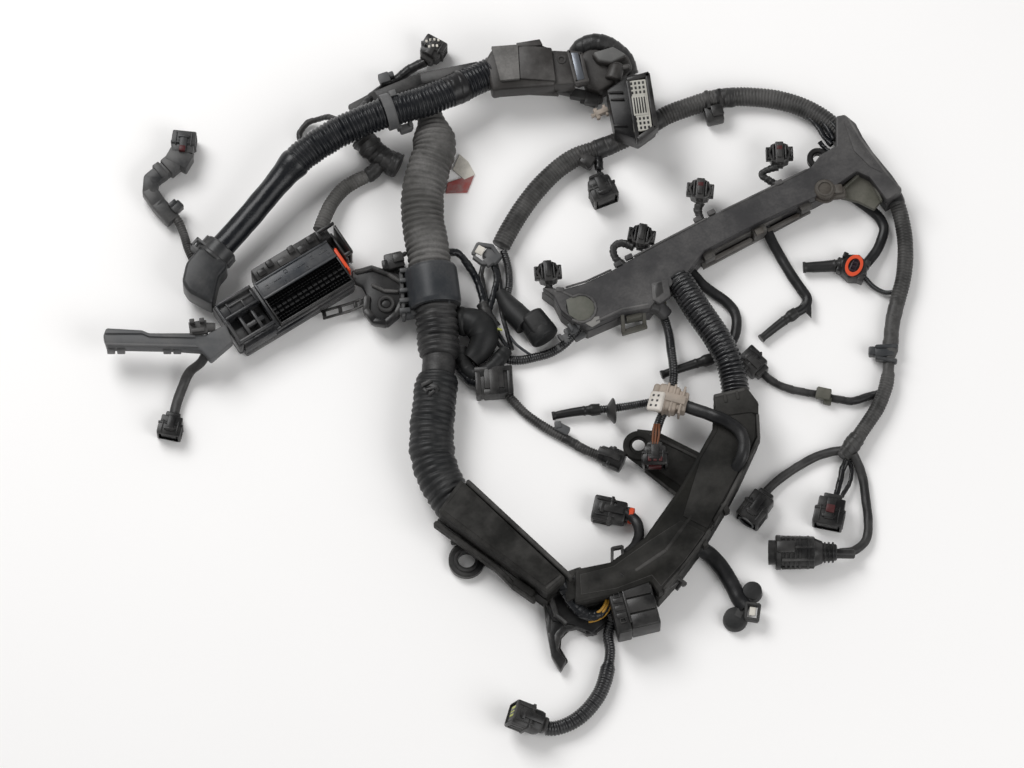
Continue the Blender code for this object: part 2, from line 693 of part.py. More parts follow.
def room(line, level=3):
    """The room that a trunk or lead needs: its tube, a clearance wider and longer."""
    spread = whole(line)
    first = (spread[0] - spread[1]).normalized() * GAP * MM
    last = (spread[-1] - spread[-2]).normalized() * GAP * MM
    spread[0] = spread[0] + first
    spread[-1] = spread[-1] + last
    return pipe("room", spread, round_bore(line.diameter, level), level)


def on_ecu(along, beside, height):
    """World place of a point in the control unit connector's own frame."""
    turn = Matrix.Rotation(math.radians(ECU_TURN), 3, "Z")
    middle = board((*ECU_CENTRE, ECU_COVER_HEIGHT))
    middle.z = 0.0
    return middle + turn @ (Vector((along, beside, height)) * MM)


def ecu_block(name, low, high):
    """A box between two corners in the control unit connector's own frame."""
    size = [b - a for a, b in zip(low, high)]
    item = block(name, (0.0, 0.0, 0.0), size, ECU_TURN)
    item.location = on_ecu(*[(a + b) / 2 for a, b in zip(low, high)])
    return item


def make_trunks():
    """The corrugated and taped trunks between the housings."""
    left = smooth_route(LEFT_LINE.places)
    sleeve_points = stretch(left, 0.0, SLEEVE_LENGTH, CORD_STEP)
    keep(plain_tube("left_sleeve", sleeve_points, SLEEVE_D, 3), GLOSSY)
    conduit_start = SLEEVE_LENGTH - SLEEVE_DEPTH
    conduit = as_mesh(ribbed("left_conduit", LEFT_LINE, conduit_start, LEFT_PITCH, 3))
    mouth = stretch(left, conduit_start - SLEEVE_DEPTH, SLEEVE_LENGTH + GAP, SLEEVE_DEPTH)
    keep(cut(conduit, pipe("mouth", mouth, round_bore(SLEEVE_D, 4), 4)), GLOSSY)
    make_centre_trunk()
    keep(ribbed("rail_drop", DROP_LINE, 0.0, DROP_PITCH, 3), BLACK)
    keep(plain_tube("loop_conduit", whole(LOOP_LINE), LOOP_D, 2), BLACK)


def make_centre_trunk():
    """The thick trunk: a ribbed length with a small stub end, then its taped wrap."""
    centre = smooth_route(CENTRE_LINE.places)
    total = route_length(centre)
    points = stretch(centre, 0.0, CENTRE_LENGTH, CENTRE_PITCH / 2)
    radii = []
    for index in range(len(points)):
        grown = min(1.0, index * CENTRE_PITCH / 2 / CENTRE_STUB_LENGTH)
        crest = (CENTRE_STUB_D + (CENTRE_D - CENTRE_STUB_D) * grown) / 2
        radii.append(crest * (1.0 - RIB_DEPTH) if index % 2 else crest)
    conduit = as_mesh(curve_tube("centre_conduit", points, radii, 3))
    wrap_start = CENTRE_LENGTH - WRAP_DEPTH
    mouth = stretch(centre, wrap_start - WRAP_DEPTH, CENTRE_LENGTH + GAP, WRAP_DEPTH)
    keep(cut(conduit, pipe("mouth", mouth, round_bore(WRAP_NECK_D, 4), 4)), DUSTY)
    wrap = stretch(centre, wrap_start, total, FINE_STEP)
    wrap_length = total - wrap_start
    radii = []
    for index in range(len(wrap)):
        reached = wrap_length * index / (len(wrap) - 1)
        narrow = reached < WRAP_NECK_LENGTH
        radii.append(WRAP_NECK_D / 2 if narrow else WRAP_D / 2)
    keep(curve_tube("centre_wrap", wrap, radii, 4), TAPE)


def make_side_conduit():
    """The conduit at the right, with its knot where three leads break out."""
    side = shaped_pipe("side_conduit", whole(SIDE_LINE), SIDE_STATIONS)
    cut(side, room(BREAKOUT_A_LINE), room(BREAKOUT_B_LINE))
    cut(side, room(BREAKOUT_C_LINE), room(SIDE_LEAD_LINE))
    cut(side, room(ORANGE_LINE))
    keep(side, BLACK)


def band(name, line, diameter, at, length, wall):
    """A ring round a trunk, seated a clearance outside it."""
    points = smooth_route(line.places)
    bore = round_bore(diameter, 4)
    solid = pipe(name, stretch(points, at, at + length, length / 2), bore + 2 * wall, 4)
    span = stretch(points, at - CLOSE_STEP, at + length + CLOSE_STEP, CLOSE_STEP)
    return cut(solid, pipe("bore", span, bore, 4))


def make_bands():
    """Clamp bands on the left and centre trunks, with the bracket beside them."""
    ring = band("conduit_clamp", LEFT_LINE, LEFT_D, CLAMP_AT, BAND_LENGTH, BAND_WALL)
    keep(ring, CLIP_GREEN)
    length = TRUNK_BAND_LENGTH
    keep(band("trunk_clamp", CENTRE_LINE, CENTRE_D, TRUNK_CLAMP_AT, length, TRUNK_BAND_WALL), BLACK)
    bracket = slab(
        "clamp_bracket", BRACKET_OUTLINE, BRACKET_BOTTOM, BRACKET_TOP, None, BRACKET_HOLES
    )
    trunk = smooth_route(CENTRE_LINE.places)
    reach = stretch(trunk, TRUNK_CLAMP_AT - GAP, TRUNK_CLAMP_AT + length + GAP, length / 2)
    outside = round_bore(CENTRE_D, 4) + 2 * TRUNK_BAND_WALL + 2 * GAP
    keep(cut(soften(bracket, 1.0), pipe("clamp_room", reach, outside, 4)), BLACK)


def make_rail():
    """The injector rail: a channel, its lid and the bundle that lies inside."""
    hollow = inset(RAIL_OUTLINE, RAIL_WALL)
    base = slab("rail_base", RAIL_OUTLINE, 0.0, RAIL_SPLIT, RAIL_TOP)
    base_hollow = slab("rail_hollow", hollow, RAIL_FLOOR, RAIL_SPLIT + RAIL_WALL, RAIL_TOP)
    cover = slab("rail_cover", RAIL_OUTLINE, RAIL_SPLIT + GAP, RAIL_TOP)
    cover_hollow = slab("lid_hollow", hollow, RAIL_SPLIT - RAIL_WALL, RAIL_TOP - RAIL_WALL, RAIL_TOP)
    soften(cover, 2.0, 2)
    cut(base, base_hollow)
    cut(cover, cover_hollow)
    recess = drum(
        "recess", (*RAIL_RECESS_PLACE, RAIL_TOP), RAIL_RECESS_R, 2 * RAIL_RECESS_DEPTH, 24
    )
    cut(cover, recess)
    for part in (base, cover):
        seat_rail_leads(part)
    keep(base, RAIL_GREY)
    keep(cover, RAIL_GREY)
    keep(plain_tube("rail_wires", whole(RAIL_WIRES_LINE), RAIL_WIRES_D, 2), TAPE)


def seat_rail_leads(part):
    """Openings in the rail's walls for the trunks and leads that enter it."""
    cut(part, room(DROP_LINE), room(LOOP_LINE), room(SIDE_LINE))
    for line in (GLOW_1_LINE, GLOW_2_LINE, GLOW_3_LINE, DROP_LEAD_LINE, RAIL_TAIL_LINE):
        cut(part, room(line))


def make_trough():
    """The curved trough at the lower right, with its bracket plate and ring."""
    base = slab("trough_base", TROUGH_OUTLINE, 0.0, TROUGH_SPLIT, TROUGH_TOP)
    plate = slab("plate", PLATE_OUTLINE, PLATE_BOTTOM, PLATE_TOP)
    ring_height = PLATE_TOP - PLATE_BOTTOM
    ring_place = (*RING_PLACE, PLATE_BOTTOM + ring_height / 2)
    ring = drum("ring", ring_place, RING_R, ring_height, 20)
    hole = drum("ring_hole", ring_place, RING_HOLE_R, 4 * ring_height, 16)
    join(base, plate, ring)
    cut(base, hole)
    cover = soften(slab("trough_cover", TROUGH_OUTLINE, TROUGH_SPLIT + GAP, TROUGH_TOP), 4.0, 2)
    for part in (base, cover):
        cut(part, room(DROP_LINE), room(BEIGE_LINE), room(CORNER_LINE))
        cut(part, room(DUCT_LEAD_LINE), room(BOTTOM_LINE), plug_room(BOX_PLUG))
    keep(base, BLACK)
    keep(cover, BLACK)


def make_left_cover():
    """The lower left pair of covers round the centre trunk's end."""
    base = slab("left_base", LEFT_COVER_OUTLINE, 0.0, COVER_SPLIT, COVER_TOP)
    lug = drum("lug", (*LUG_PLACE, LUG_HEIGHT / 2), LUG_R, LUG_HEIGHT, 24)
    arm = block("lug_arm", LUG_ARM.place, LUG_ARM.size, LUG_ARM.turn)
    hook = slab("hook", HOOK_OUTLINE, 0.0, LUG_HEIGHT)
    hole = drum("lug_hole", (*LUG_PLACE, LUG_HEIGHT / 2), LUG_HOLE_R, 3 * LUG_HEIGHT, 20)
    join(base, lug, arm, hook)
    cut(base, hole)
    cover = soften(slab("left_cover", LEFT_COVER_OUTLINE, COVER_SPLIT + GAP, COVER_TOP), 4.0, 2)
    for part in (base, cover):
        cut(part, room(CENTRE_LINE))
    keep(base, DUCT_GREY)
    keep(cover, BLACK)


def make_upper_duct():
    """The duct at the top, its hub with a low dome, and the bare metal plate between."""
    duct = soften(slab("upper_duct", DUCT_OUTLINE, DUCT_BOTTOM, DUCT_TOP), 4.0, 2)
    join(duct, block("keel", DUCT_KEEL.place, DUCT_KEEL.size, DUCT_KEEL.turn))
    cut(duct, drum("screw_hole", (*SCREW_PLACE, DUCT_TOP), SCREW_HOLE_R, 2 * SCREW_DEPTH, 12))
    cut(duct, room(LEFT_LINE))
    keep(duct, DUCT_GREY)
    hub = soften(slab("duct_hub", HUB_OUTLINE, 0.0, HUB_TOP), 3.0, 2)
    dome_level = HUB_TOP + DOME_HEIGHT / 2 - GAP
    dome = drum("dome", (*DOME_PLACE, dome_level), DOME_R, DOME_HEIGHT, 20, DOME_R * 0.7)
    join(hub, dome)
    keep(hub, DUCT_GREY)
    keep(slab("steel_plate", STEEL_OUTLINE, 0.0, STEEL_TOP), STEEL)


def make_fuse_box():
    """The black junction box with its whitish terminal face."""
    box = soften(slab("fuse_box", BOX_OUTLINE, BOX_BOTTOM, BOX_TOP), 2.0, 1)
    keep(box, BLACK)
    face_place = (*TERMINALS_PLACE, BOX_TOP + GAP + TERMINALS_THICKNESS / 2)
    face_size = (*TERMINALS_SIZE, TERMINALS_THICKNESS)
    face = block("fuse_terminals", face_place, face_size, TERMINALS_TURN)
    keep(soften(face, 1.0), TERMINAL_WHITE)


def make_ecu():
    """The large connector for the control unit, with its lever, seal and pin block."""
    base = soften(ecu_block("ecu_housing", *ECU_HOUSING_BOX), 3.0, 2)
    rim = soften(ecu_block("rim", *ECU_RIM_BOX), 3.0, 2)
    cover = soften(ecu_block("lead_cover", *ECU_COVER_BOX), 4.0, 2)
    join(base, rim, cover)
    cut(base, room(ECU_BRANCH_LINE))
    keep(base, BLACK)
    keep(soften(ecu_block("ecu_terminal_block", *ECU_TERMINAL_BOX), 1.2), TERMINAL_GREY)
    keep(soften(ecu_block("ecu_pin_block", *ECU_PIN_BOX), 1.2), BLACK)
    keep(soften(ecu_block("ecu_seal", *ECU_SEAL_BOX), 1.0), ORANGE)
    keep(soften(ecu_block("ecu_lever", *ECU_LEVER_BOX), 2.0), BLACK)


def make_left_covers():
    """The elbow cover round the sleeve's end and the flat channel at the far left."""
    elbow = soften(slab("elbow_cover", ELBOW_OUTLINE, ELBOW_BOTTOM, ELBOW_TOP), 4.0, 2)
    cut(elbow, room(LEFT_LINE), room(SENSOR_LEAD_LINE))
    keep(elbow, BLACK)
    arm = soften(slab("arm_channel", ARM_OUTLINE, ARM_BOTTOM, ARM_TOP), 2.5, 2)
    cut(arm, room(ARM_BRANCH_LINE))
    keep(arm, DUCT_GREY)


def make_cluster():
    """Boot, relay connector, taped elbow bundle and the junction bundle in the middle."""
    relay = plug_body(RELAY_PLUG)
    relay.name = "relay_connector"
    cut(relay, room(COVER_LEAD_LINE), room(CENTRE_BUNDLE_LINE))
    keep(relay, BLACK)
    boot = pipe("oval_boot", whole(BOOT_LINE), SMALL_LEAD_D)
    join(boot, plug_body(BOOT_BODY))
    keep(cut(boot, room(LOOP_LINE)), RUBBER)
    bundle = pipe("centre_bundle", whole(CENTRE_BUNDLE_LINE), CENTRE_BUNDLE_D, 2)
    cap = soften(drum("round_cap", ROUND_CAP_PLACE, ROUND_CAP_R, ROUND_CAP_HEIGHT, 20), 3.0)
    join(bundle, cap)
    keep(cut(bundle, room(RAIL_TAIL_LINE)), TAPE)
    keep(plain_tube("rail_tail", whole(RAIL_TAIL_LINE), LEAD_D), BLACK)
    junction = pipe("junction_bundle", whole(JUNCTION_LINE), BUNDLE_D, 3)
    keep(cut(junction, room(ECU_BRANCH_LINE)), TAPE)
    keep(plain_tube("ecu_branch", whole(ECU_BRANCH_LINE), BRANCH_D, 2), BLACK)


def make_injectors():
    """Four octagonal connectors on the rail's upper side, each with its stem."""
    for number, (top, root) in enumerate(zip(INJECTOR_PLACES, INJECTOR_ROOTS), 1):
        place, stem = (*top, INJECTOR_LEVEL), (*root, INJECTOR_LEVEL)
        name = "injector_connector_%d" % number
        body = drum(name, place, INJECTOR_WIDTH / 2, INJECTOR_HEIGHT, 8, None, 22.5)
        join(body, pipe("stem", [board(place), board(stem)], INJECTOR_STEM, 2))
        rail_room = slab("rail_room", inset(RAIL_OUTLINE, -GAP), -GAP, RAIL_TOP + GAP, RAIL_TOP)
        keep(cut(body, rail_room), BLACK)


def lead(name, line, pieces, material=BLACK):
    """A lead and the connector on its free end, in one node."""
    solid = pipe(name, whole(line), line.diameter)
    join(solid, *pieces)
    return keep(solid, material)


def boot_pipe(places):
    """A pencil boot of a glow plug lead: a collar, a body and a thin tip."""
    route = smooth_route(places)
    points = stretch(route, 0.0, route_length(route), BOOT_STEP)
    stations = (
        (0.0, BOOT_COLLAR_D), (0.16, BOOT_COLLAR_D), (0.24, BOOT_D), (0.72, BOOT_D),
        (0.8, BOOT_TIP_D), (1.0, BOOT_TIP_D),
    )
    return shaped_pipe("boot", points, stations, 2)


def make_glow_leads():
    """The four leads with pencil boots on the rail's lower side."""
    lead("glow_lead_1", GLOW_1_LINE, [])
    lead("glow_lead_2", GLOW_2_LINE, [boot_pipe(GLOW_2_BOOT)])
    lead("glow_lead_3", GLOW_3_LINE, [boot_pipe(GLOW_3_BOOT)])
    flange = drum("flange", FLANGE_PLACE, GLOW_FLANGE_D / 2, FLANGE_THICKNESS, 16)
    flange.rotation_euler = (0.0, math.radians(FLANGE_LEAN), math.radians(FLANGE_TURN))
    fourth = lead("glow_lead_4", GLOW_4_LINE, [boot_pipe(GLOW_4_BOOT), flange])
    cut(fourth, room(DROP_LEAD_LINE))


def make_leads():
    """The other leads, each with its connector."""
    elbow = pipe("elbow", whole(SENSOR_ELBOW_LINE), SENSOR_ELBOW_D, 3)
    lead("sensor_lead", SENSOR_LEAD_LINE, [elbow, plug_body(SENSOR_PLUG)])
    lead("arm_branch", ARM_BRANCH_LINE, [plug_body(ARM_PLUG)])
    top = lead("top_lead", TOP_LEAD_LINE, [plug_body(TOP_PLUG)])
    cut(top, room(LEFT_LINE, 6))
    hung = lead("hanging_connector", HANGING_LINE, [plug_body(HANGING_PLUG)])
    cut(hung, room(LOOP_LINE))
    orange_pieces = [plug_body(ORANGE_PLUG), boot_pipe(GLOW_1_BOOT)]
    cut(lead("orange_connector", ORANGE_LINE, orange_pieces), room(GLOW_1_LINE))
    lead("beige_connector", BEIGE_LINE, [plug_body(BEIGE_PLUG)], BEIGE)
    lead("side_lead", SIDE_LEAD_LINE, [plug_body(SIDE_PLUG)])
    make_breakout_leads()
    make_lower_leads()


def make_breakout_leads():
    """The three leads from the side conduit's knot."""
    lead("breakout_lead_a", BREAKOUT_A_LINE, [plug_body(BREAKOUT_A_PLUG)])
    lead("breakout_lead_b", BREAKOUT_B_LINE, [plug_body(BREAKOUT_B_PLUG)])
    barrel = pipe("barrel", [board(place) for place in BARREL_PLACES], BARREL_D, 4)
    lead("breakout_lead_c", BREAKOUT_C_LINE, [barrel])


def make_lower_leads():
    """Leads and connectors round the trough and the lower left cover."""
    lead("duct_lead", DUCT_LEAD_LINE, [plug_body(DUCT_PLUG)])
    box = plug_body(BOX_PLUG)
    box.name = "box_connector"
    keep(cut(box, room(BOTTOM_LINE)), BLACK)
    lead("bottom_lead", BOTTOM_LINE, [plug_body(BOTTOM_PLUG)])
    disc = drum("disc", CORNER_DISC_PLACE, CORNER_DISC_R, CORNER_DISC_HEIGHT)
    lead("corner_lead", CORNER_LINE, [soften(disc, 2.0)])
    lead("cover_lead", COVER_LEAD_LINE, [plug_body(COVER_PLUG)])
    lead("drop_lead", DROP_LEAD_LINE, [plug_body(DROP_PLUG)])


def main():
    """Make the whole harness."""
    make_trunks()
    make_side_conduit()
    make_bands()
    make_rail()
    make_trough()
    make_left_cover()
    make_upper_duct()
    make_fuse_box()
    make_ecu()
    make_left_covers()
    make_cluster()
    make_injectors()
    make_glow_leads()
    make_leads()


main()
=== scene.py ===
import math
from collections import namedtuple

import bmesh
import bpy
from mathutils import Matrix, Vector, noise


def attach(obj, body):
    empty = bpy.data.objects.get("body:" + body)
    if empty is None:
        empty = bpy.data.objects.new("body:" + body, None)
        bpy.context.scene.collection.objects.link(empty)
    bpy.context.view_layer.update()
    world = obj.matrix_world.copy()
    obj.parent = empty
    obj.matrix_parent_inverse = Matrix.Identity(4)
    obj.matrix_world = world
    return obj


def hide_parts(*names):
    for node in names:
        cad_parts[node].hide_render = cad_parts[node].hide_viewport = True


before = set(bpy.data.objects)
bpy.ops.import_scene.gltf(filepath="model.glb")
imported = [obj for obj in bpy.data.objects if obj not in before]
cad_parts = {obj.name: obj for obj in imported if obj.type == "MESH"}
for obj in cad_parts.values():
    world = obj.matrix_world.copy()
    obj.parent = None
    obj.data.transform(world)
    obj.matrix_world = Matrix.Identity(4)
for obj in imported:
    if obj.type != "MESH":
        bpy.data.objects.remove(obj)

bl_info = {
    "name": "Wiring Harness",
    "version": (1, 0, 0),
    "blender": (4, 5, 0),
    "location": "View3D > Sidebar > Harness",
    "description": "Builds a used engine wiring harness with its ducts, conduits and connectors",
    "category": "Add Mesh",
}

# A trunk or lead: its diameter and its route over the layout board, in millimetres
Line = namedtuple("Line", "diameter places")

# The layout board: millimetres to the right and down, then the height above the floor. The board is
# tilted like the picture: a place on it is where the harness shows from the camera's angle.
MM = 0.001
ORIGIN_ACROSS = 700.0
ORIGIN_DOWN = 248.0
VIEW_ANGLE = math.radians(70.0)

# Shapes: points between two places of a route, the distance at which points are welded, and the
# angles, in degrees, past which edges stay sharp on housings and on hoses
SAMPLES = 14
WELD = 0.000002
FULL_TURN = 2.0 * math.pi
CREASE = 38.0
HOSE_CREASE = 70.0
CORD_PATH_STEP = 3.0

# Edges of rings and plates are softened where their faces meet at more than this, in radians
RING_CORNER = 1.2
PLATE_CORNER = 0.35

# Camera: the middle of the picture on the board, its distance and the width it takes in
PICTURE_MIDDLE = (512, 384, 0)
CAMERA_DISTANCE = 9.0
CAMERA_REACH = 30.0
PICTURE_WIDTH = 1.024
SENSOR_WIDTH = 36.0

# Floor and lights, in metres: place, aim and size of each soft light
FLOOR_HALF = 6.0
FLOOR_DROP = 0.0006
FLOOR_CLOUDS = 3.0
FLOOR_SHADE = 0.97
FLOOR_ROUGHNESS = 0.75
FLOOR_GLOSS = 0.2
KEY_LIGHT = ((-1.5, 1.3, 2.2), (-0.2, 0.0, 0.0), 1.6)
FILL_LIGHT = ((1.6, -1.4, 1.9), (-0.1, -0.1, 0.0), 1.8)
SKY_FROM, SKY_TOP = 0.2, 0.45

# What most pieces share: no turn or shift of their own, because their places are on the board
IN_PLACE = Matrix.Identity(4)

# Routes of trunks and leads, and the places of the pencil boots
LEFT_LINE = Line(32.0, (
    (213, 256, 28), (240, 226, 30), (261, 201, 33), (280, 178, 36), (300, 156, 40),
    (326, 138, 44), (359, 121, 48), (392, 109, 49), (424, 100, 47), (457, 86, 42),
    (483, 74, 36), (502, 65, 34),
))
CENTRE_LINE = Line(44.0, (
    (429, 114, 18), (432, 128, 20), (434, 148, 23), (428, 168, 24), (423, 188, 24),
    (422, 208, 24), (424, 230, 25), (428, 250, 26.5), (430, 268, 27.5), (433, 288, 27.5),
    (436, 312, 26.5), (438, 336, 24), (439, 360, 24), (437, 384, 24), (434, 410, 24),
    (432, 432, 24), (433, 455, 24), (440, 478, 24), (452, 498, 24), (462, 508, 24),
))
DROP_LINE = Line(28.0, (
    (678, 279, 22), (688, 294, 25), (697, 309, 28), (708, 325, 30), (718, 340, 31),
    (727, 358, 30), (732, 374, 27), (735, 392, 24), (736, 406, 23),
))
LOOP_LINE = Line(19.5, (
    (843, 132, 14), (828, 118, 13), (806, 105, 11), (779, 97, 10), (752, 94, 10),
    (724, 95, 10), (697, 102, 10), (672, 111, 10), (650, 123, 10), (628, 135, 10),
    (603, 146, 10), (577, 155, 10), (554, 171, 10), (535, 191, 10), (519, 213, 10),
    (507, 233, 10), (501, 245, 10),
))
SIDE_LINE = Line(16.0, (
    (893, 190, 12), (901, 208, 11), (906, 232, 10), (907, 256, 10), (904, 280, 10),
    (898, 302, 9), (893, 323, 9), (891, 343, 9), (889, 362, 9), (886, 384, 9),
    (877, 407, 9), (863, 428, 10), (850, 446, 11), (841.5, 457, 11),
))
JUNCTION_LINE = Line(27.0, ((360, 136, 14), (370, 146, 14), (383, 157, 14), (398, 164, 14)))
ECU_BRANCH_LINE = Line(14.0, (
    (380, 161, 12), (370, 172, 9), (356, 179, 8.5), (342, 188, 10), (332, 200, 14),
    (325, 214, 18), (319, 230, 20),
))
RAIL_TAIL_LINE = Line(9.0, (
    (499, 358, 8.5), (511, 360, 6), (522, 360, 5), (536, 357, 5), (550, 353, 6),
    (562, 346, 9), (573, 335, 14), (582, 322, 17),
))
HANGING_LINE = Line(5.0, ((597, 150, 10), (599, 160, 8), (600, 172, 8), (602, 182, 9)))
SENSOR_LEAD_LINE = Line(9.0, (
    (166, 208, 12), (176, 220, 11), (182, 233, 11), (187, 248, 13), (196, 266, 18),
))
ARM_BRANCH_LINE = Line(9.0, (
    (208, 352, 30), (201, 363, 22), (190, 372, 12), (183, 387, 7), (177, 404, 6), (174, 418, 8),
))
TOP_LEAD_LINE = Line(10.0, (
    (424, 58, 12), (410, 65, 8), (398, 74, 7), (385, 83, 8), (372, 93, 15), (362, 106, 30),
    (358, 117, 42),
))
GLOW_1_LINE = Line(9.0, (
    (846, 184, 11), (856, 196, 8), (868, 205, 5.5), (880, 215, 5.5), (886, 227, 5.5),
    (883, 240, 5.5), (877, 252, 7), (868, 263, 9),
))
GLOW_2_LINE = Line(9.0, (
    (767, 224, 11), (772, 238, 8), (781, 255, 5.5), (792, 274, 5.5), (802, 289, 5.5),
    (808, 299, 5.5), (804, 308, 6.2), (792, 315, 6.2),
))
GLOW_3_LINE = Line(9.0, (
    (692, 272, 11), (704, 285, 8), (716, 294, 5.5), (727, 302, 5.5), (735, 312, 5.5),
    (737, 325, 5.5), (733, 340, 5.5), (722, 353, 6.2), (708, 360, 6.2),
))
GLOW_4_LINE = Line(8.0, (
    (668, 399, 15), (657, 401, 9), (645, 403, 5.5), (634, 405, 5.5), (622, 407, 7),
    (606, 409, 8.5), (588, 410, 8.5),
))
GLOW_1_BOOT = ((852, 264, 8.0), (826, 266, 7.3), (804, 267, 7.3))
GLOW_2_BOOT = ((797, 312, 6.2), (780, 324, 6.2), (761, 339, 6.2))
GLOW_3_BOOT = ((714, 358, 6.2), (688, 366, 6.2), (661, 375, 6.2))
GLOW_4_BOOT = ((600, 409, 8.5), (574, 412, 7.5), (552, 416, 6.5))
DROP_LEAD_LINE = Line(9.0, (
    (655, 302, 11), (664, 317, 9), (669, 334, 11), (671, 350, 17), (673, 366, 19),
    (673, 380, 18), (670, 394, 18), (665, 408, 18), (659, 421, 20), (655, 434, 25),
    (654, 450, 28),
))
BEIGE_LINE = Line(11.0, (
    (676, 402, 36), (690, 408, 38), (702, 412, 43), (713, 416, 48.5), (727, 422, 49.5),
    (738, 431, 49.5), (742, 443, 49.5), (740, 455, 48), (735, 465, 42), (731, 473, 34),
))
DUCT_LEAD_LINE = Line(9.0, (
    (624, 512, 12), (635, 520, 14), (638, 533, 20), (633, 545, 28), (624, 553, 33),
))
BOTTOM_LINE = Line(13.0, (
    (611, 618, 12), (607, 632, 8), (609, 648, 6.8), (607, 663, 7.6), (603, 679, 8.4),
    (597, 692, 8.4), (586, 706, 8.4), (572, 717, 8.4), (556, 723, 8.4), (545, 723, 9.5),
))
CORNER_LINE = Line(14.0, (
    (688, 545, 14), (700, 548, 11), (711, 556, 8), (721, 568, 7.5), (730, 583, 7.5),
    (737, 597, 8), (744, 606, 9),
))
COVER_LEAD_LINE = Line(9.0, (
    (505, 392, 8), (514, 402, 6), (525, 413, 5), (540, 424, 5), (555, 433, 5), (570, 441, 5),
    (584, 449, 5), (596, 454, 6), (606, 458, 9),
))
ORANGE_LINE = Line(5.0, ((864, 275, 8), (874, 286, 5), (885, 292, 5), (895, 292, 6)))
SIDE_LEAD_LINE = Line(8.0, (
    (880, 393, 6), (866, 397, 4.5), (852, 401, 4.5), (836, 399, 4.5), (820, 395, 4.5),
    (803, 392, 4.5), (786, 388, 4.5), (772, 381, 5.5), (760, 371, 8),
))
BREAKOUT_A_LINE = Line(8.0, (
    (842, 450, 9), (829, 452, 6), (814, 457, 4.5), (799, 465, 4.5), (785, 474, 4.5),
    (773, 483, 6), (763, 493, 8),
))
BREAKOUT_B_LINE = Line(6.5, ((845.5, 459.5, 8), (841, 470, 6), (838, 482, 7), (833, 500, 10)))
BREAKOUT_C_LINE = Line(8.0, (
    (852, 454, 11), (858, 467, 5.5), (862, 482, 4.5), (864, 500, 4.5), (866, 520, 4.5),
    (864, 538, 5), (852, 549, 8), (838, 551, 11),
))


def board(place):
    """World place, in metres, of a place on the layout board."""
    across, down, height = place
    side = (ORIGIN_DOWN - down) / math.sin(VIEW_ANGLE) - height / math.tan(VIEW_ANGLE)
    return Vector((across - ORIGIN_ACROSS, side, height)) * MM


def smooth_route(places):
    """Many points along one smooth curve through a route's places."""
    knots = [board(place) for place in places]
    ends = [2 * knots[0] - knots[1]] + knots + [2 * knots[-1] - knots[-2]]
    points = []
    for index in range(len(knots) - 1):
        before, start, end, after = ends[index:index + 4]
        for step in range(SAMPLES):
            share = step / SAMPLES
            pull = 2 * start + (end - before) * share
            pull += (2 * before - 5 * start + 4 * end - after) * share ** 2
            pull += (3 * start - before - 3 * end + after) * share ** 3
            points.append(pull * 0.5)
    points.append(knots[-1])
    return points


def route_length(points):
    """Length of a line of points, in millimetres."""
    return sum((b - a).length for a, b in zip(points, points[1:])) / MM


def stretch(points, start, end, step):
    """Evenly spaced points between two distances along a line of points."""
    count = max(2, round((end - start) / step))
    spread = []
    index, passed = 0, 0.0
    for number in range(count + 1):
        wanted = start + (end - start) * number / count
        while index < len(points) - 2:
            span = (points[index + 1] - points[index]).length / MM
            if passed + span >= wanted:
                break
            passed += span
            index += 1
        span = (points[index + 1] - points[index]).length / MM
        spread.append(points[index].lerp(points[index + 1], (wanted - passed) / span))
    return spread


def unevenness(along, turn, size, seed):
    """A smooth lump, from -1 to 1, that closes round a tube."""
    angle = turn * FULL_TURN
    spot = (along / size + seed * 7.3, math.cos(angle) * 0.9 + seed, math.sin(angle) * 0.9)
    return noise.noise(Vector(spot)) * 1.6


def smooth_skin(diameter, uneven=0.0, seed=0.0, size=14.0):
    """A plain round tube with slight lumps."""
    def profile(along, turn):
        return diameter / 2 + uneven * unevenness(along, turn, size, seed)
    return profile


def corrugated(diameter, pitch, depth, uneven=0.0, seed=0.0):
    """Wide rounded crests and narrow grooves, some ribs squashed a little."""
    def profile(along, turn):
        wave = 0.5 + 0.5 * math.cos(FULL_TURN * along / pitch)
        squash = 1.0 - 0.25 * abs(unevenness(along, turn, 3.0 * pitch, seed + 4.0))
        rib = depth * squash * (wave ** 0.55 - 1.0)
        return diameter / 2 + rib + uneven * unevenness(along, turn, 22.0, seed)
    return profile


def wound(diameter, pitch, lift, uneven=0.0, seed=0.0):
    """Tape wound round a bundle: each turn laps over the last and ends in a small step."""
    def profile(along, turn):
        slack = 0.22 * unevenness(along, turn, 9.0, seed + 2.0)
        phase = (along / pitch + turn + slack) % 1.0
        return diameter / 2 - lift * phase + uneven * unevenness(along, turn, 11.0, seed)
    return profile


def taped_ribs(diameter, pitch, depth, lap, lift, uneven, seed=0.0):
    """Tape over a corrugated conduit: the ribs show through as folds, crossed by the tape's edges."""
    def profile(along, turn):
        shift = along + 0.45 * unevenness(along, turn, 26.0, seed + 1.0)
        wave = 0.5 + 0.5 * math.cos(FULL_TURN * shift / pitch)
        strength = 0.85 + 0.22 * unevenness(along, 0.0, 26.0, seed + 5.0)
        phase = (along / lap + turn + 0.1 * unevenness(along, turn, 16.0, seed + 3.0)) % 1.0
        folds = depth * strength * (wave ** 0.6 - 1.0)
        return diameter / 2 + folds - lift * phase + uneven * unevenness(along, turn, 17.0, seed)
    return profile


def stepped(stations, skin):
    """A skin whose size follows stations of (distance along, share of its radius)."""
    def profile(along, turn):
        share = stations[-1][1]
        for (low, first), (high, second) in zip(stations, stations[1:]):
            if low <= along <= high:
                share = first + (second - first) * (along - low) / (high - low)
                break
        return skin(along, turn) * share
    return profile


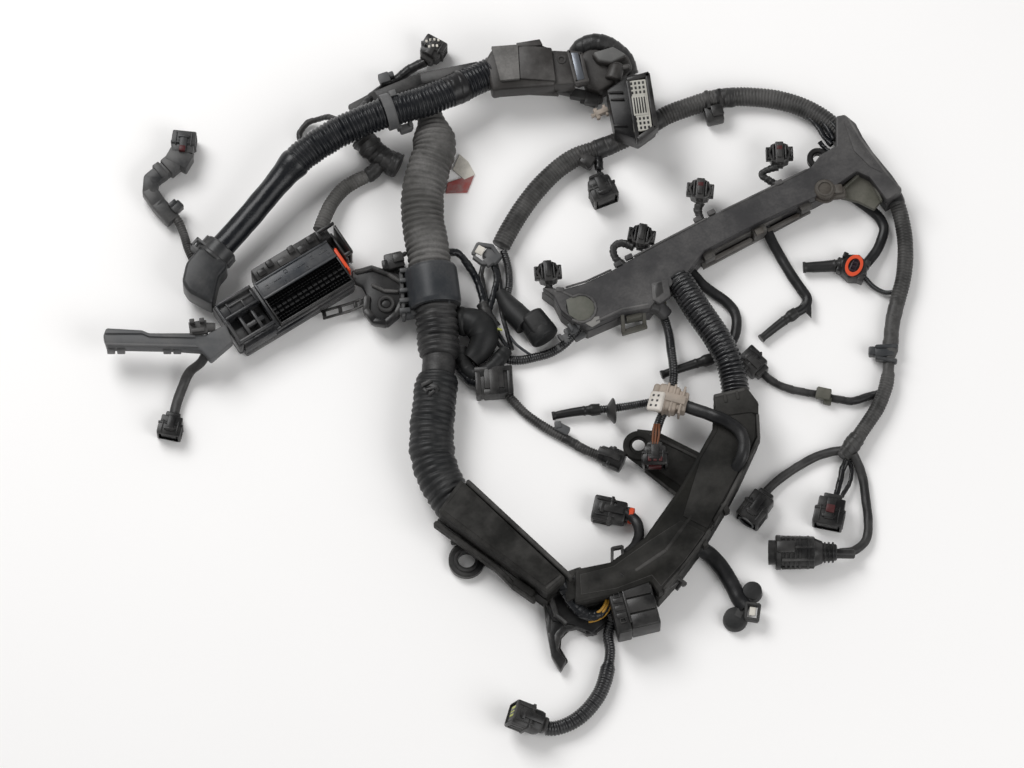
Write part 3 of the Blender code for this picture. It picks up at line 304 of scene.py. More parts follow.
def thin_tube(name, points, sides):
    """A capped mesh tube, a millimetre in radius, along points; the ends' verts come first."""
    curve = bpy.data.curves.new(name, "CURVE")
    curve.dimensions = "3D"
    curve.bevel_depth = MM
    curve.bevel_resolution = (sides - 4) // 2
    curve.use_fill_caps = True
    curve.twist_mode = "Z_UP"
    spline = curve.splines.new("POLY")
    spline.points.add(len(points) - 1)
    for spot, point in zip(spline.points, points):
        spot.co = (*point, 1.0)
    item = bpy.data.objects.new(name, curve)
    bpy.context.scene.collection.objects.link(item)
    bpy.context.view_layer.update()
    evaluated = item.evaluated_get(bpy.context.evaluated_depsgraph_get())
    mesh = bpy.data.meshes.new_from_object(evaluated)
    bpy.data.objects.remove(item)
    bpy.data.curves.remove(curve)
    return mesh


def hose_mesh(name, points, spacing, profile, sides, start=0.0):
    """A tube along points whose radius, in millimetres, comes from a profile."""
    mesh = thin_tube(name, points, sides)
    last = len(points) - 1
    for vertex in mesh.vertices:
        index = vertex.index - 2 * sides
        if index >= 0:
            ring, side = divmod(index, sides)
        else:
            ring, side = (last if vertex.index < sides else 0), vertex.index % sides
        centre = points[ring]
        radius = profile(start + ring * spacing, side / sides)
        vertex.co = centre + (vertex.co - centre).normalized() * radius * MM
    edit = bmesh.new()
    edit.from_mesh(mesh)
    bmesh.ops.remove_doubles(edit, verts=edit.verts, dist=WELD)
    edit.to_mesh(mesh)
    edit.free()
    return mesh


def shade(mesh, angle=CREASE):
    """Smooth shading that keeps edges sharper than an angle crisp."""
    edit = bmesh.new()
    edit.from_mesh(mesh)
    for face in edit.faces:
        face.smooth = True
    for edge in edit.edges:
        if edge.is_manifold and edge.calc_face_angle() > math.radians(angle):
            edge.smooth = False
    edit.to_mesh(mesh)
    edit.free()


def show(name, mesh, finish, nodes=(), angle=CREASE):
    """Add a finished mesh to the scene, in place of the CAD nodes that it stands for."""
    shade(mesh, angle)
    item = bpy.data.objects.new(name, mesh)
    bpy.context.scene.collection.objects.link(item)
    mesh.materials.clear()
    mesh.materials.append(FINISHES[finish])
    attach(item, "root")
    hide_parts(*nodes)
    return item


def hose(name, line, profile, finish, nodes=(), start=0.0, end=None, step=1.2, sides=20):
    """A shown tube along a line's route, or a part of it."""
    route = smooth_route(line.places)
    reach = route_length(route) if end is None else end
    points = stretch(route, start, reach, step)
    spacing = (reach - start) / (len(points) - 1)
    mesh = hose_mesh(name, points, spacing, profile, sides, start)
    return show(name, mesh, finish, nodes, HOSE_CREASE)


def cord(name, line, profile, finish, nodes, step=1.2, sides=16):
    """A hose that is a free lead of the harness."""
    item = hose(name, line, profile, finish, nodes, 0.0, None, step, sides)
    route = smooth_route(line.places)
    reach = route_length(route)
    rings = stretch(route, 0.0, reach, CORD_PATH_STEP)
    return item


def once(items):
    """Each of some edges or faces once, in their order."""
    return list(dict.fromkeys(items))


class Shape:
    """The parts of one piece, gathered in millimetres in the piece's own frame.

    The frame's x runs along the piece towards its mouth, y to its left and z up.
    """

    def __init__(self):
        self.edit = bmesh.new()

    def move(self, verts, matrix):
        """Turn, size and shift some of the points."""
        bmesh.ops.transform(self.edit, matrix=matrix, verts=verts)

    def bevel(self, edges, width, segments=2):
        """Round off edges."""
        bmesh.ops.bevel(
            self.edit, geom=edges, offset=width, affect="EDGES", segments=segments,
            profile=0.5, material=-1, clamp_overlap=True,
        )

    def box(self, low, high, soft=0.4, segments=2, matrix=None):
        """A box between two corners with rounded edges."""
        made = bmesh.ops.create_cube(self.edit, size=1.0)["verts"]
        size = [b - a for a, b in zip(low, high)]
        middle = [(a + b) / 2 for a, b in zip(low, high)]
        self.move(made, Matrix.Translation(middle) @ Matrix.Diagonal((*size, 1.0)))
        if matrix is not None:
            self.move(made, matrix)
        if soft:
            self.bevel(once(edge for vert in made for edge in vert.link_edges), soft, segments)

    def block(self, spot, size, turn=0.0, soft=0.5, segments=2, tip=0.0):
        """A softened box whose middle stands at a spot on the board."""
        half = [side / 2 for side in size]
        here = Matrix.Translation(board(spot) / MM) @ Matrix.Rotation(math.radians(turn), 4, "Z")
        here = here @ Matrix.Rotation(math.radians(-tip), 4, "Y")
        self.box([-side for side in half], half, soft, segments, here)

    def strips(self, places, width, thick, soft=0.3, segments=1):
        """Flat strips, end to end, whose top middles run through places on the board."""
        spots = [board(place) / MM for place in places]
        for start, end in zip(spots, spots[1:]):
            way = end - start
            here = Matrix.Translation((start + end) / 2)
            here = here @ Matrix.Rotation(math.atan2(way.y, way.x), 4, "Z")
            here = here @ Matrix.Rotation(-math.atan2(way.z, way.xy.length), 4, "Y")
            reach = way.length / 2 + width * 0.22
            self.box((-reach, -width / 2, -thick), (reach, width / 2, 0), soft, segments, here)

    def upright(self, spot, radius, low, high, top=None, sides=24, soft=0.5):
        """A round post on a spot of the board, which is read at the post's top."""
        middle = board((spot[0], spot[1], high)) / MM
        self.rod((middle.x, middle.y, low), (middle.x, middle.y, high), radius, top, sides, soft, 2)

    def loop(self, spot, radius, bore, low, high, sides=28, soft=0.5):
        """A round ring on a spot of the board, which is read at the ring's top."""
        middle = board((spot[0], spot[1], high)) / MM
        self.ring((middle.x, middle.y, low), (middle.x, middle.y, high), radius, bore, sides, soft)

    def rod(self, start, end, radius, top=None, sides=20, soft=0.3, segments=1):
        """A round bar or cone between two places."""
        begin, way = Vector(start), Vector(end) - Vector(start)
        upper = radius if top is None else top
        made = bmesh.ops.create_cone(
            self.edit, cap_ends=True, segments=sides, radius1=radius, radius2=upper, depth=way.length
        )["verts"]
        turn = way.to_track_quat("Z", "Y").to_matrix().to_4x4()
        self.move(made, Matrix.Translation(begin + way / 2) @ turn)
        if soft:
            rims = once(
                edge for vert in made for edge in vert.link_edges
                if any(len(face.verts) > 4 for face in edge.link_faces)
            )
            self.bevel(rims, soft, segments)

    def ring(self, start, end, radius, bore, sides=24, soft=0.3):
        """A round tube with an open bore between two places."""
        begin, way = Vector(start), Vector(end) - Vector(start)
        turn = Matrix.Translation(begin) @ way.to_track_quat("Z", "Y").to_matrix().to_4x4()
        outer = bmesh.ops.create_circle(self.edit, segments=sides, radius=radius)["verts"]
        inner = bmesh.ops.create_circle(self.edit, segments=sides, radius=bore)["verts"]
        rims = once(edge for vert in outer + inner for edge in vert.link_edges)
        flat = bmesh.ops.bridge_loops(self.edit, edges=rims)["faces"]
        grown = bmesh.ops.extrude_face_region(self.edit, geom=flat)["geom"]
        moved = [item for item in grown if isinstance(item, bmesh.types.BMVert)]
        bmesh.ops.translate(self.edit, vec=Vector((0, 0, way.length)), verts=moved)
        bmesh.ops.reverse_faces(self.edit, faces=flat)
        every = outer + inner + moved
        faces = once(face for vert in every for face in vert.link_faces)
        bmesh.ops.recalc_face_normals(self.edit, faces=faces)
        self.move(every, turn)
        if soft:
            edges = once(
                edge for vert in every for edge in vert.link_edges
                if edge.is_manifold and edge.calc_face_angle() > RING_CORNER
            )
            self.bevel(edges, soft, 1)

    def plate(self, outline, bottom, top, soft=0.6, segments=2):
        """An upright slab on an outline of (x, y) corners."""
        corners = [self.edit.verts.new((x, y, bottom)) for x, y in outline]
        face = self.edit.faces.new(corners)
        grown = bmesh.ops.extrude_face_region(self.edit, geom=[face])["geom"]
        moved = [item for item in grown if isinstance(item, bmesh.types.BMVert)]
        bmesh.ops.translate(self.edit, vec=Vector((0, 0, top - bottom)), verts=moved)
        every = corners + moved
        faces = once(item for vert in every for item in vert.link_faces)
        bmesh.ops.recalc_face_normals(self.edit, faces=faces)
        if soft:
            edges = once(
                edge for vert in every for edge in vert.link_edges
                if edge.calc_face_angle() > PLATE_CORNER
            )
            self.bevel(edges, soft, segments)

    def socket(self, low, high, wall, depth, soft=0.5, across="x"):
        """A box with an open mouth in its far x face, or its top where across is "z"."""
        made = bmesh.ops.create_cube(self.edit, size=1.0)["verts"]
        size = [b - a for a, b in zip(low, high)]
        middle = [(a + b) / 2 for a, b in zip(low, high)]
        self.move(made, Matrix.Translation(middle) @ Matrix.Diagonal((*size, 1.0)))
        edges = once(edge for vert in made for edge in vert.link_edges)
        axis = Vector((1, 0, 0)) if across == "x" else Vector((0, 0, 1))
        faces = once(face for vert in made for face in vert.link_faces)
        mouth = max(faces, key=lambda face: face.calc_center_median().dot(axis))
        bmesh.ops.inset_region(self.edit, faces=[mouth], thickness=wall, use_even_offset=True)
        floor = bmesh.ops.extrude_discrete_faces(self.edit, faces=[mouth])["faces"][0]
        bmesh.ops.translate(self.edit, vec=-axis * depth, verts=list(floor.verts))
        if soft:
            self.bevel([edge for edge in edges if edge.is_valid], soft, 2)

    def grid(self, low, high, columns, rows, wall, depth):
        """A slab whose top is a grid of small square holes."""
        made = bmesh.ops.create_grid(self.edit, x_segments=columns, y_segments=rows, size=0.5)["verts"]
        size = [b - a for a, b in zip(low, high)]
        middle = ((low[0] + high[0]) / 2, (low[1] + high[1]) / 2, high[2])
        self.move(made, Matrix.Translation(middle) @ Matrix.Diagonal((size[0], size[1], 1.0, 1.0)))
        cells = once(face for vert in made for face in vert.link_faces)
        edges = once(e for vert in made for e in vert.link_edges if e.is_boundary)
        sides = bmesh.ops.extrude_edge_only(self.edit, edges=edges)["geom"]
        lower = [item for item in sides if isinstance(item, bmesh.types.BMVert)]
        bmesh.ops.translate(self.edit, vec=Vector((0, 0, low[2] - high[2])), verts=lower)
        rim = once(e for vert in lower for e in vert.link_edges if e.is_boundary)
        bmesh.ops.contextual_create(self.edit, geom=rim)
        every = made + lower
        faces = once(face for vert in every for face in vert.link_faces)
        bmesh.ops.recalc_face_normals(self.edit, faces=faces)
        bmesh.ops.inset_individual(
            self.edit, faces=cells, thickness=wall, depth=-depth, use_even_offset=True
        )

    def ribs(self, low, high, count):
        """Small ribs over a face, spread along y between two corners."""
        pitch = (high[1] - low[1]) / (2 * count - 1)
        for number in range(count):
            start = low[1] + 2 * number * pitch
            self.box((low[0], start, low[2]), (high[0], start + pitch, high[2]), 0.15, 1)

    def mesh(self, name, matrix):
        """The finished mesh, its place worked into its points."""
        made = bpy.data.meshes.new(name)
        self.edit.transform(matrix @ Matrix.Scale(MM, 4))
        self.edit.to_mesh(made)
        self.edit.free()
        return made

    def show(self, name, matrix, finish, nodes=()):
        """Finish the piece where the matrix puts it, and add it to the scene."""
        return show(name, self.mesh(name, matrix), finish, nodes)


def at(spot, turn=0.0, tip=0.0):
    """Where a piece stands on the board: its turn from above, then its mouth's lift."""
    here = Matrix.Translation(board(spot)) @ Matrix.Rotation(math.radians(turn), 4, "Z")
    return here @ Matrix.Rotation(math.radians(-tip), 4, "Y")


def outline_at(outline, height):
    """A board outline, seen at a height, as (x, y) corners in millimetres."""
    return [tuple(board((across, down, height)).xy / MM) for across, down in outline]


# Dust colours, and how many specks of dust and folds of a crinkled skin there are in a metre
GREY_DUST = (0.16, 0.155, 0.15)
EARTH_DUST = (0.15, 0.14, 0.115)
PALE_DUST = (0.25, 0.24, 0.23)
SPECK_SCALE = 420.0
CRINKLE_SCALE = 110.0


def node(tree, kind, inputs=None, **settings):
    """A shader node with its settings, values and incoming links."""
    made = tree.nodes.new(kind)
    for key, value in settings.items():
        setattr(made, key, value)
    for socket, value in (inputs or {}).items():
        if isinstance(value, bpy.types.NodeSocket):
            tree.links.new(value, made.inputs[socket])
        else:
            made.inputs[socket].default_value = value
    return made


def group_sockets(group, inputs, outputs):
    """Named sockets of a node group."""
    for name, kind, value in inputs:
        made = group.interface.new_socket(name=name, in_out="INPUT", socket_type=kind)
        made.default_value = value
    for name, kind in outputs:
        group.interface.new_socket(name=name, in_out="OUTPUT", socket_type=kind)


def dust_group():
    """Dust that settles in soft patches on upward faces, with scuffed, paler edges."""
    group = bpy.data.node_groups.new("settled_dust", "ShaderNodeTree")
    group_sockets(
        group,
        (
            ("Plastic", "NodeSocketColor", (0.02, 0.02, 0.02, 1.0)),
            ("Dust Colour", "NodeSocketColor", (0.2, 0.18, 0.16, 1.0)),
            ("Dust", "NodeSocketFloat", 0.4),
            ("Patch Scale", "NodeSocketFloat", 30.0),
            ("Scuffs", "NodeSocketFloat", 0.3),
        ),
        (("Colour", "NodeSocketColor"), ("Dusty", "NodeSocketFloat")),
    )
    given = node(group, "NodeGroupInput").outputs
    place = node(group, "ShaderNodeTexCoord").outputs["Object"]
    shape = node(group, "ShaderNodeNewGeometry").outputs
    patch = node(group, "ShaderNodeTexNoise", {
        "Vector": place, "Scale": given["Patch Scale"], "Detail": 5.0, "Roughness": 0.62,
    })
    speck = node(group, "ShaderNodeTexNoise", {
        "Vector": place, "Scale": SPECK_SCALE, "Detail": 3.0, "Roughness": 0.7,
    })
    patches = node(
        group, "ShaderNodeMapRange",
        {
            "Value": patch.outputs["Fac"], "From Min": 0.34, "From Max": 0.66, "To Min": 0.12,
            "To Max": 1.0,
        },
        interpolation_type="SMOOTHSTEP"
    )
    specks = node(group, "ShaderNodeMapRange", {
        "Value": speck.outputs["Fac"], "From Min": 0.3, "From Max": 0.7, "To Min": 0.55, "To Max": 1.15,
    })
    upright = node(group, "ShaderNodeSeparateXYZ", {"Vector": shape["Normal"]})
    facing = node(
        group, "ShaderNodeMapRange",
        {
            "Value": upright.outputs["Z"], "From Min": -0.25, "From Max": 0.85, "To Min": 0.12,
            "To Max": 1.0,
        }
    )
    first = node(
        group, "ShaderNodeMath", {0: patches.outputs[0], 1: specks.outputs[0]}, operation="MULTIPLY"
    )
    second = node(
        group, "ShaderNodeMath", {0: first.outputs[0], 1: facing.outputs[0]}, operation="MULTIPLY"
    )
    settled = node(
        group, "ShaderNodeMath", {0: second.outputs[0], 1: given["Dust"]}, operation="MULTIPLY",
        use_clamp=True
    )
    dusty = node(group, "ShaderNodeMix", {
        0: settled.outputs[0], 6: given["Plastic"], 7: given["Dust Colour"],
    }, data_type="RGBA")
    edge = node(group, "ShaderNodeMapRange", {
        "Value": shape["Pointiness"], "From Min": 0.52, "From Max": 0.62, "To Min": 0.0, "To Max": 1.0,
    })
    rubbed = node(
        group, "ShaderNodeMath", {0: edge.outputs[0], 1: patches.outputs[0]}, operation="MULTIPLY"
    )
    scuffed = node(
        group, "ShaderNodeMath", {0: rubbed.outputs[0], 1: given["Scuffs"]}, operation="MULTIPLY",
        use_clamp=True
    )
    worn = node(group, "ShaderNodeMix", {
        0: scuffed.outputs[0], 6: dusty.outputs[2], 7: (*GREY_DUST, 1.0),
    }, data_type="RGBA")
    node(group, "NodeGroupOutput", {"Colour": worn.outputs[2], "Dusty": settled.outputs[0]})
    return group


def grain_group():
    """Fine relief: a moulded grain or a crinkled skin over broader unevenness."""
    group = bpy.data.node_groups.new("surface_grain", "ShaderNodeTree")
    group_sockets(
        group,
        (("Grain Scale", "NodeSocketFloat", 600.0), ("Crinkle", "NodeSocketFloat", 0.3)),
        (("Relief", "NodeSocketFloat"),),
    )
    given = node(group, "NodeGroupInput").outputs
    place = node(group, "ShaderNodeTexCoord").outputs["Object"]
    fine = node(group, "ShaderNodeTexNoise", {
        "Vector": place, "Scale": given["Grain Scale"], "Detail": 3.0, "Roughness": 0.6,
    })
    broad = node(group, "ShaderNodeTexNoise", {
        "Vector": place, "Scale": CRINKLE_SCALE, "Detail": 4.0, "Roughness": 0.55, "Distortion": 1.2,
    })
    broader = node(
        group, "ShaderNodeMath", {0: broad.outputs["Fac"], 1: given["Crinkle"]},
        operation="MULTIPLY"
    )
    total = node(
        group, "ShaderNodeMath", {0: fine.outputs["Fac"], 1: broader.outputs[0]}, operation="ADD"
    )
    node(group, "NodeGroupOutput", {"Relief": total.outputs[0]})
    return group


# One finish: its plastic and dust colours, how much dust, the size of its patches, scuffed edges,
# clean and dusty roughness, grain, crinkle and relief height in millimetres, then its slot
Finish = namedtuple(
    "Finish", "colour dust_colour dust patches scuffs clean dusty grain crinkle relief slot metallic",
    defaults=(0.0,),
)
FINISH_LIST = {
    "glossy_vinyl": Finish(
        (0.004, 0.005, 0.007), GREY_DUST, 0.06, 50, 0.35, 0.25, 0.55, 600, 1.4, 0.2, "glossy_conduit"),
    "satin_conduit": Finish(
        (0.005, 0.0055, 0.0068), GREY_DUST, 0.09, 34, 0.35, 0.22, 0.6, 600, 0.7, 0.12, "black_plastic"),
    "dusty_conduit": Finish(
        (0.05, 0.0485, 0.0455), GREY_DUST, 0.9, 22, 0.5, 0.5, 0.75, 500, 0.9, 0.2, "dusty_conduit"),
    "loop_conduit": Finish(
        (0.02, 0.0195, 0.019), GREY_DUST, 0.42, 30, 0.5, 0.34, 0.7, 550, 0.8, 0.14, "black_plastic"),
    "black_tape": Finish(
        (0.005, 0.005, 0.0058), GREY_DUST, 0.07, 30, 0.3, 0.26, 0.66, 700, 1.6, 0.22, "cloth_tape"),
    "dusty_tape": Finish(
        (0.011, 0.011, 0.0115), GREY_DUST, 0.24, 26, 0.4, 0.34, 0.72, 700, 1.6, 0.22, "cloth_tape"),
    "rubber": Finish(
        (0.009, 0.009, 0.0092), GREY_DUST, 0.1, 24, 0.3, 0.36, 0.62, 800, 0.5, 0.08, "rubber"),
    "black_plastic": Finish(
        (0.0045, 0.0045, 0.005), GREY_DUST, 0.07, 28, 0.5, 0.28, 0.6, 900, 0.35, 0.06, "black_plastic"),
    "trough_plastic": Finish(
        (0.0035, 0.0035, 0.003), EARTH_DUST, 0.06, 18, 0.4, 0.62, 0.68, 500, 0.9, 0.16, "black_plastic"),
    "rail_plastic": Finish(
        (0.025, 0.0245, 0.026), PALE_DUST, 0.24, 13, 0.75, 0.46, 0.72, 900, 0.7, 0.1, "rail_plastic"),
    "rail_shadow": Finish(
        (0.03, 0.028, 0.027), EARTH_DUST, 0.4, 26, 0.6, 0.42, 0.68, 700, 0.8, 0.12, "rail_plastic"),
    "pale_scuff": Finish(
        (0.2, 0.195, 0.185), PALE_DUST, 0.5, 60, 0.3, 0.55, 0.75, 700, 0.8, 0.08, "rail_plastic"),
    "satin_clamp": Finish(
        (0.02, 0.023, 0.027), GREY_DUST, 0.24, 20, 0.4, 0.34, 0.6, 700, 0.5, 0.06, "black_plastic"),
    "matt_rubber": Finish(
        (0.0075, 0.008, 0.0085), GREY_DUST, 0.1, 26, 0.2, 0.5, 0.75, 600, 0.6, 0.08, "rubber"),
    "yellow_green": Finish(
        (0.42, 0.45, 0.1), EARTH_DUST, 0.2, 60, 0.1, 0.4, 0.6, 800, 0.4, 0.05, "clip_plastic"),
    "plug_black": Finish(
        (0.003, 0.003, 0.0034), GREY_DUST, 0.04, 40, 0.4, 0.3, 0.55, 900, 0.4, 0.06, "black_plastic"),
    "hub_plastic": Finish(
        (0.09, 0.09, 0.088), PALE_DUST, 0.5, 24, 0.4, 0.45, 0.68, 700, 0.6, 0.1, "duct_plastic"),
    "grainy_panel": Finish(
        (0.06, 0.058, 0.055), PALE_DUST, 0.6, 30, 0.4, 0.55, 0.75, 420, 1.0, 0.25, "duct_plastic"),
    "sensor_grey": Finish(
        (0.013, 0.014, 0.0155), GREY_DUST, 0.2, 26, 0.5, 0.32, 0.6, 900, 0.4, 0.06, "black_plastic"),
    "glossy_sleeve": Finish(
        (0.005, 0.0052, 0.006), GREY_DUST, 0.1, 34, 0.3, 0.34, 0.6, 500, 1.2, 0.1, "glossy_conduit"),
    "dark_violet": Finish(
        (0.02, 0.008, 0.016), GREY_DUST, 0.1, 40, 0.3, 0.3, 0.55, 900, 0.4, 0.05, "black_plastic"),
    "orange_wire": Finish(
        (0.16, 0.05, 0.018), EARTH_DUST, 0.3, 60, 0.1, 0.4, 0.6, 800, 0.4, 0.05, "orange_seal"),
    "boss_brown": Finish(
        (0.045, 0.037, 0.031), EARTH_DUST, 0.35, 40, 0.5, 0.45, 0.68, 700, 0.8, 0.12, "rail_plastic"),
    "wrap_tape": Finish(
        (0.0055, 0.0062, 0.007), GREY_DUST, 0.16, 24, 0.4, 0.42, 0.68, 700, 1.6, 0.25, "cloth_tape"),
    "recess_green": Finish(
        (0.085, 0.088, 0.072), EARTH_DUST, 0.4, 60, 0.6, 0.5, 0.7, 500, 1.0, 0.2, "rail_plastic"),
    "duct_plastic": Finish(
        (0.018, 0.016, 0.0148), PALE_DUST, 0.17, 18, 0.6, 0.4, 0.66, 700, 0.8, 0.12, "duct_plastic"),
    "grey_plastic": Finish(
        (0.07, 0.072, 0.075), GREY_DUST, 0.4, 22, 0.5, 0.42, 0.66, 900, 0.4, 0.06, "duct_plastic"),
    "blue_black": Finish(
        (0.007, 0.0085, 0.0115), GREY_DUST, 0.1, 26, 0.7, 0.26, 0.55, 900, 0.25, 0.05, "black_plastic"),
    # pin_block is near-black plastic; the same finish also paints shade in the rail outlet, the fuse
    # slots, the beige plug's holes and the bottom plug's gaps
    "pin_block": Finish(
        (0.003, 0.003, 0.0036), GREY_DUST, 0.03, 26, 0.5, 0.3, 0.5, 900, 0.2, 0.04, "black_plastic"),
    "blue_grey": Finish(
        (0.024, 0.028, 0.034), PALE_DUST, 0.14, 22, 0.5, 0.28, 0.55, 900, 0.3, 0.05, "terminal_plastic"),
    "clip_green": Finish(
        (0.065, 0.065, 0.05), EARTH_DUST, 0.45, 40, 0.4, 0.45, 0.66, 800, 0.5, 0.08, "clip_plastic"),
    "pale_terminals": Finish(
        (0.42, 0.41, 0.37), EARTH_DUST, 0.35, 60, 0.2, 0.45, 0.66, 900, 0.4, 0.05, "fuse_face"),
    "beige_plastic": Finish(
        (0.36, 0.3, 0.25), EARTH_DUST, 0.45, 40, 0.4, 0.45, 0.66, 800, 0.5, 0.08, "beige_plastic"),
    "cream_plastic": Finish(
        (0.62, 0.58, 0.53), EARTH_DUST, 0.25, 50, 0.2, 0.45, 0.66, 800, 0.4, 0.05, "beige_plastic"),
    "orange_seal": Finish(
        (0.64, 0.065, 0.016), EARTH_DUST, 0.12, 60, 0.1, 0.4, 0.6, 700, 0.6, 0.06, "orange_seal"),
    "dull_red": Finish(
        (0.055, 0.006, 0.008), EARTH_DUST, 0.05, 60, 0.1, 0.4, 0.6, 800, 0.4, 0.05, "orange_seal"),
    "yellow_wire": Finish(
        (0.42, 0.22, 0.02), EARTH_DUST, 0.3, 60, 0.1, 0.35, 0.6, 800, 0.4, 0.05, "clip_plastic"),
    "olive_wire": Finish(
        (0.11, 0.1, 0.03), EARTH_DUST, 0.3, 80, 0.1, 0.4, 0.6, 800, 0.6, 0.05, "clip_plastic"),
    "bare_steel": Finish(
        (0.17, 0.185, 0.21), GREY_DUST, 0.18, 40, 0.1, 0.34, 0.6, 900, 0.8, 0.04, "bare_steel", 1.0),
    "label_paper": Finish(
        (0.66, 0.63, 0.57), EARTH_DUST, 0.4, 50, 0.0, 0.6, 0.75, 600, 1.5, 0.1, "fuse_face"),
    "label_red": Finish(
        (0.33, 0.07, 0.065), PALE_DUST, 0.7, 90, 0.0, 0.6, 0.75, 600, 1.5, 0.1, "orange_seal"),
}
# The shine of a finish: up to each clean roughness, its specular level
GLOSS_LEVELS = ((0.25, 0.5), (0.6, 0.26), (math.inf, 0.12))
FULL_DUST = 0.6
RELIEF_STRENGTH = 0.6
FINISHES = {}


def make_finish(name, made, dust, grain):
    """A dusty, worn material with fine relief."""
    material = bpy.data.materials.new(name)
    material.use_nodes = True
    tree = material.node_tree
    shader = tree.nodes["Principled BSDF"]
    soiled = node(tree, "ShaderNodeGroup", node_tree=dust)
    soiled.inputs["Plastic"].default_value = (*made.colour, 1.0)
    soiled.inputs["Dust Colour"].default_value = (*made.dust_colour, 1.0)
    soiled.inputs["Dust"].default_value = made.dust
    soiled.inputs["Patch Scale"].default_value = made.patches
    soiled.inputs["Scuffs"].default_value = made.scuffs
    tree.links.new(soiled.outputs["Colour"], shader.inputs["Base Color"])
    rough = node(tree, "ShaderNodeMapRange", {
        "Value": soiled.outputs["Dusty"], "From Min": 0.0, "From Max": FULL_DUST,
        "To Min": made.clean, "To Max": made.dusty,
    })
    tree.links.new(rough.outputs[0], shader.inputs["Roughness"])
    relief = node(tree, "ShaderNodeGroup", node_tree=grain)
    relief.inputs["Grain Scale"].default_value = made.grain
    relief.inputs["Crinkle"].default_value = made.crinkle
    bump = node(tree, "ShaderNodeBump", {
        "Height": relief.outputs["Relief"], "Strength": RELIEF_STRENGTH, "Distance": made.relief * MM,
    })
    tree.links.new(bump.outputs["Normal"], shader.inputs["Normal"])
    shader.inputs["Metallic"].default_value = made.metallic
    shader.inputs["Specular IOR Level"].default_value = next(
        level for limit, level in GLOSS_LEVELS if made.clean < limit)
    return material


def make_finishes():
    """Every material of the harness."""
    dust, grain = dust_group(), grain_group()
    for name, made in FINISH_LIST.items():
        FINISHES[name] = make_finish(name, made, dust, grain)


class HarnessStage(bpy.types.PropertyGroup):
    """The floor and the lights."""

    floor_colour: bpy.props.FloatVectorProperty(
        name="Floor", description="Colour of the floor", subtype="COLOR", size=3,
        default=(0.93, 0.92, 0.912), min=0.0, max=1.0)
    sky: bpy.props.FloatProperty(
        name="Sky", description="Strength of the soft light from all round", default=0.54, min=0.0)
    key_power: bpy.props.FloatProperty(
        name="Key light", description="Power of the large light at the upper left", default=60.0,
        min=0.0, unit="POWER")
    fill_power: bpy.props.FloatProperty(
        name="Fill light", description="Power of the light at the lower right", default=32.0,
        min=0.0, unit="POWER")


def area_light(name, place, aim, size, power):
    """A soft square light that points at a place."""
    light = bpy.data.lights.new(name, "AREA")
    light.shape = "SQUARE"
    light.size = size
    light.energy = power
    item = bpy.data.objects.new(name, light)
    item.location = place
    item.rotation_euler = (Vector(aim) - Vector(place)).to_track_quat("-Z", "Y").to_euler()
    bpy.context.scene.collection.objects.link(item)
    return item


class HARNESS_OT_stage(bpy.types.Operator):
    """Set the camera over the harness, with a pale floor and soft light"""

    bl_idname = "harness.stage"
    bl_label = "Stage"

    def execute(self, context):
        settings = context.scene.harness_stage
        middle = board(PICTURE_MIDDLE)
        camera = bpy.data.cameras.new("camera")
        camera.sensor_width = SENSOR_WIDTH
        camera.lens = SENSOR_WIDTH * CAMERA_DISTANCE / PICTURE_WIDTH
        camera.clip_end = CAMERA_REACH
        item = bpy.data.objects.new("camera", camera)
        view = Vector((0.0, -math.cos(VIEW_ANGLE), math.sin(VIEW_ANGLE)))
        item.location = middle + view * CAMERA_DISTANCE
        item.rotation_euler = (-view).to_track_quat("-Z", "Y").to_euler()
        context.scene.collection.objects.link(item)
        context.scene.camera = item

        edit = bmesh.new()
        bmesh.ops.create_grid(edit, x_segments=1, y_segments=1, size=FLOOR_HALF)
        mesh = bpy.data.meshes.new("floor")
        bmesh.ops.translate(edit, verts=edit.verts, vec=Vector((0.0, 0.0, -FLOOR_DROP)))
        edit.to_mesh(mesh)
        edit.free()
        floor = bpy.data.objects.new("floor", mesh)
        context.scene.collection.objects.link(floor)
        material = bpy.data.materials.new("floor")
        material.use_nodes = True
        tree = material.node_tree
        shader = tree.nodes["Principled BSDF"]
        place = node(tree, "ShaderNodeTexCoord").outputs["Object"]
        cloud = node(
            tree, "ShaderNodeTexNoise", {"Vector": place, "Scale": FLOOR_CLOUDS, "Detail": 3.0}
        )
        tint = node(tree, "ShaderNodeMix", {
            0: cloud.outputs["Fac"], 6: (*settings.floor_colour, 1.0),
            7: (*[level * FLOOR_SHADE for level in settings.floor_colour], 1.0),
        }, data_type="RGBA")
        tree.links.new(tint.outputs[2], shader.inputs["Base Color"])
        shader.inputs["Roughness"].default_value = FLOOR_ROUGHNESS
        shader.inputs["Specular IOR Level"].default_value = FLOOR_GLOSS
        mesh.materials.append(material)
        key = area_light("key_light", *KEY_LIGHT, settings.key_power)
        fill = area_light("fill_light", *FILL_LIGHT, settings.fill_power)
        world = bpy.data.worlds.new("studio")
        world.use_nodes = True
        sky = world.node_tree.nodes["Background"]
        ahead = node(world.node_tree, "ShaderNodeTexCoord").outputs["Generated"]
        upright = node(world.node_tree, "ShaderNodeSeparateXYZ", {"Vector": ahead})
        dome = node(world.node_tree, "ShaderNodeMapRange", {
            "Value": upright.outputs["Z"], "From Min": SKY_FROM, "From Max": 1.0, "To Min": 1.0,
            "To Max": SKY_TOP,
        })
        world.node_tree.links.new(dome.outputs[0], sky.inputs["Color"])
        sky.inputs["Strength"].default_value = settings.sky
        context.scene.world = world
        context.scene.view_settings.view_transform = "Standard"
        return {"FINISHED"}


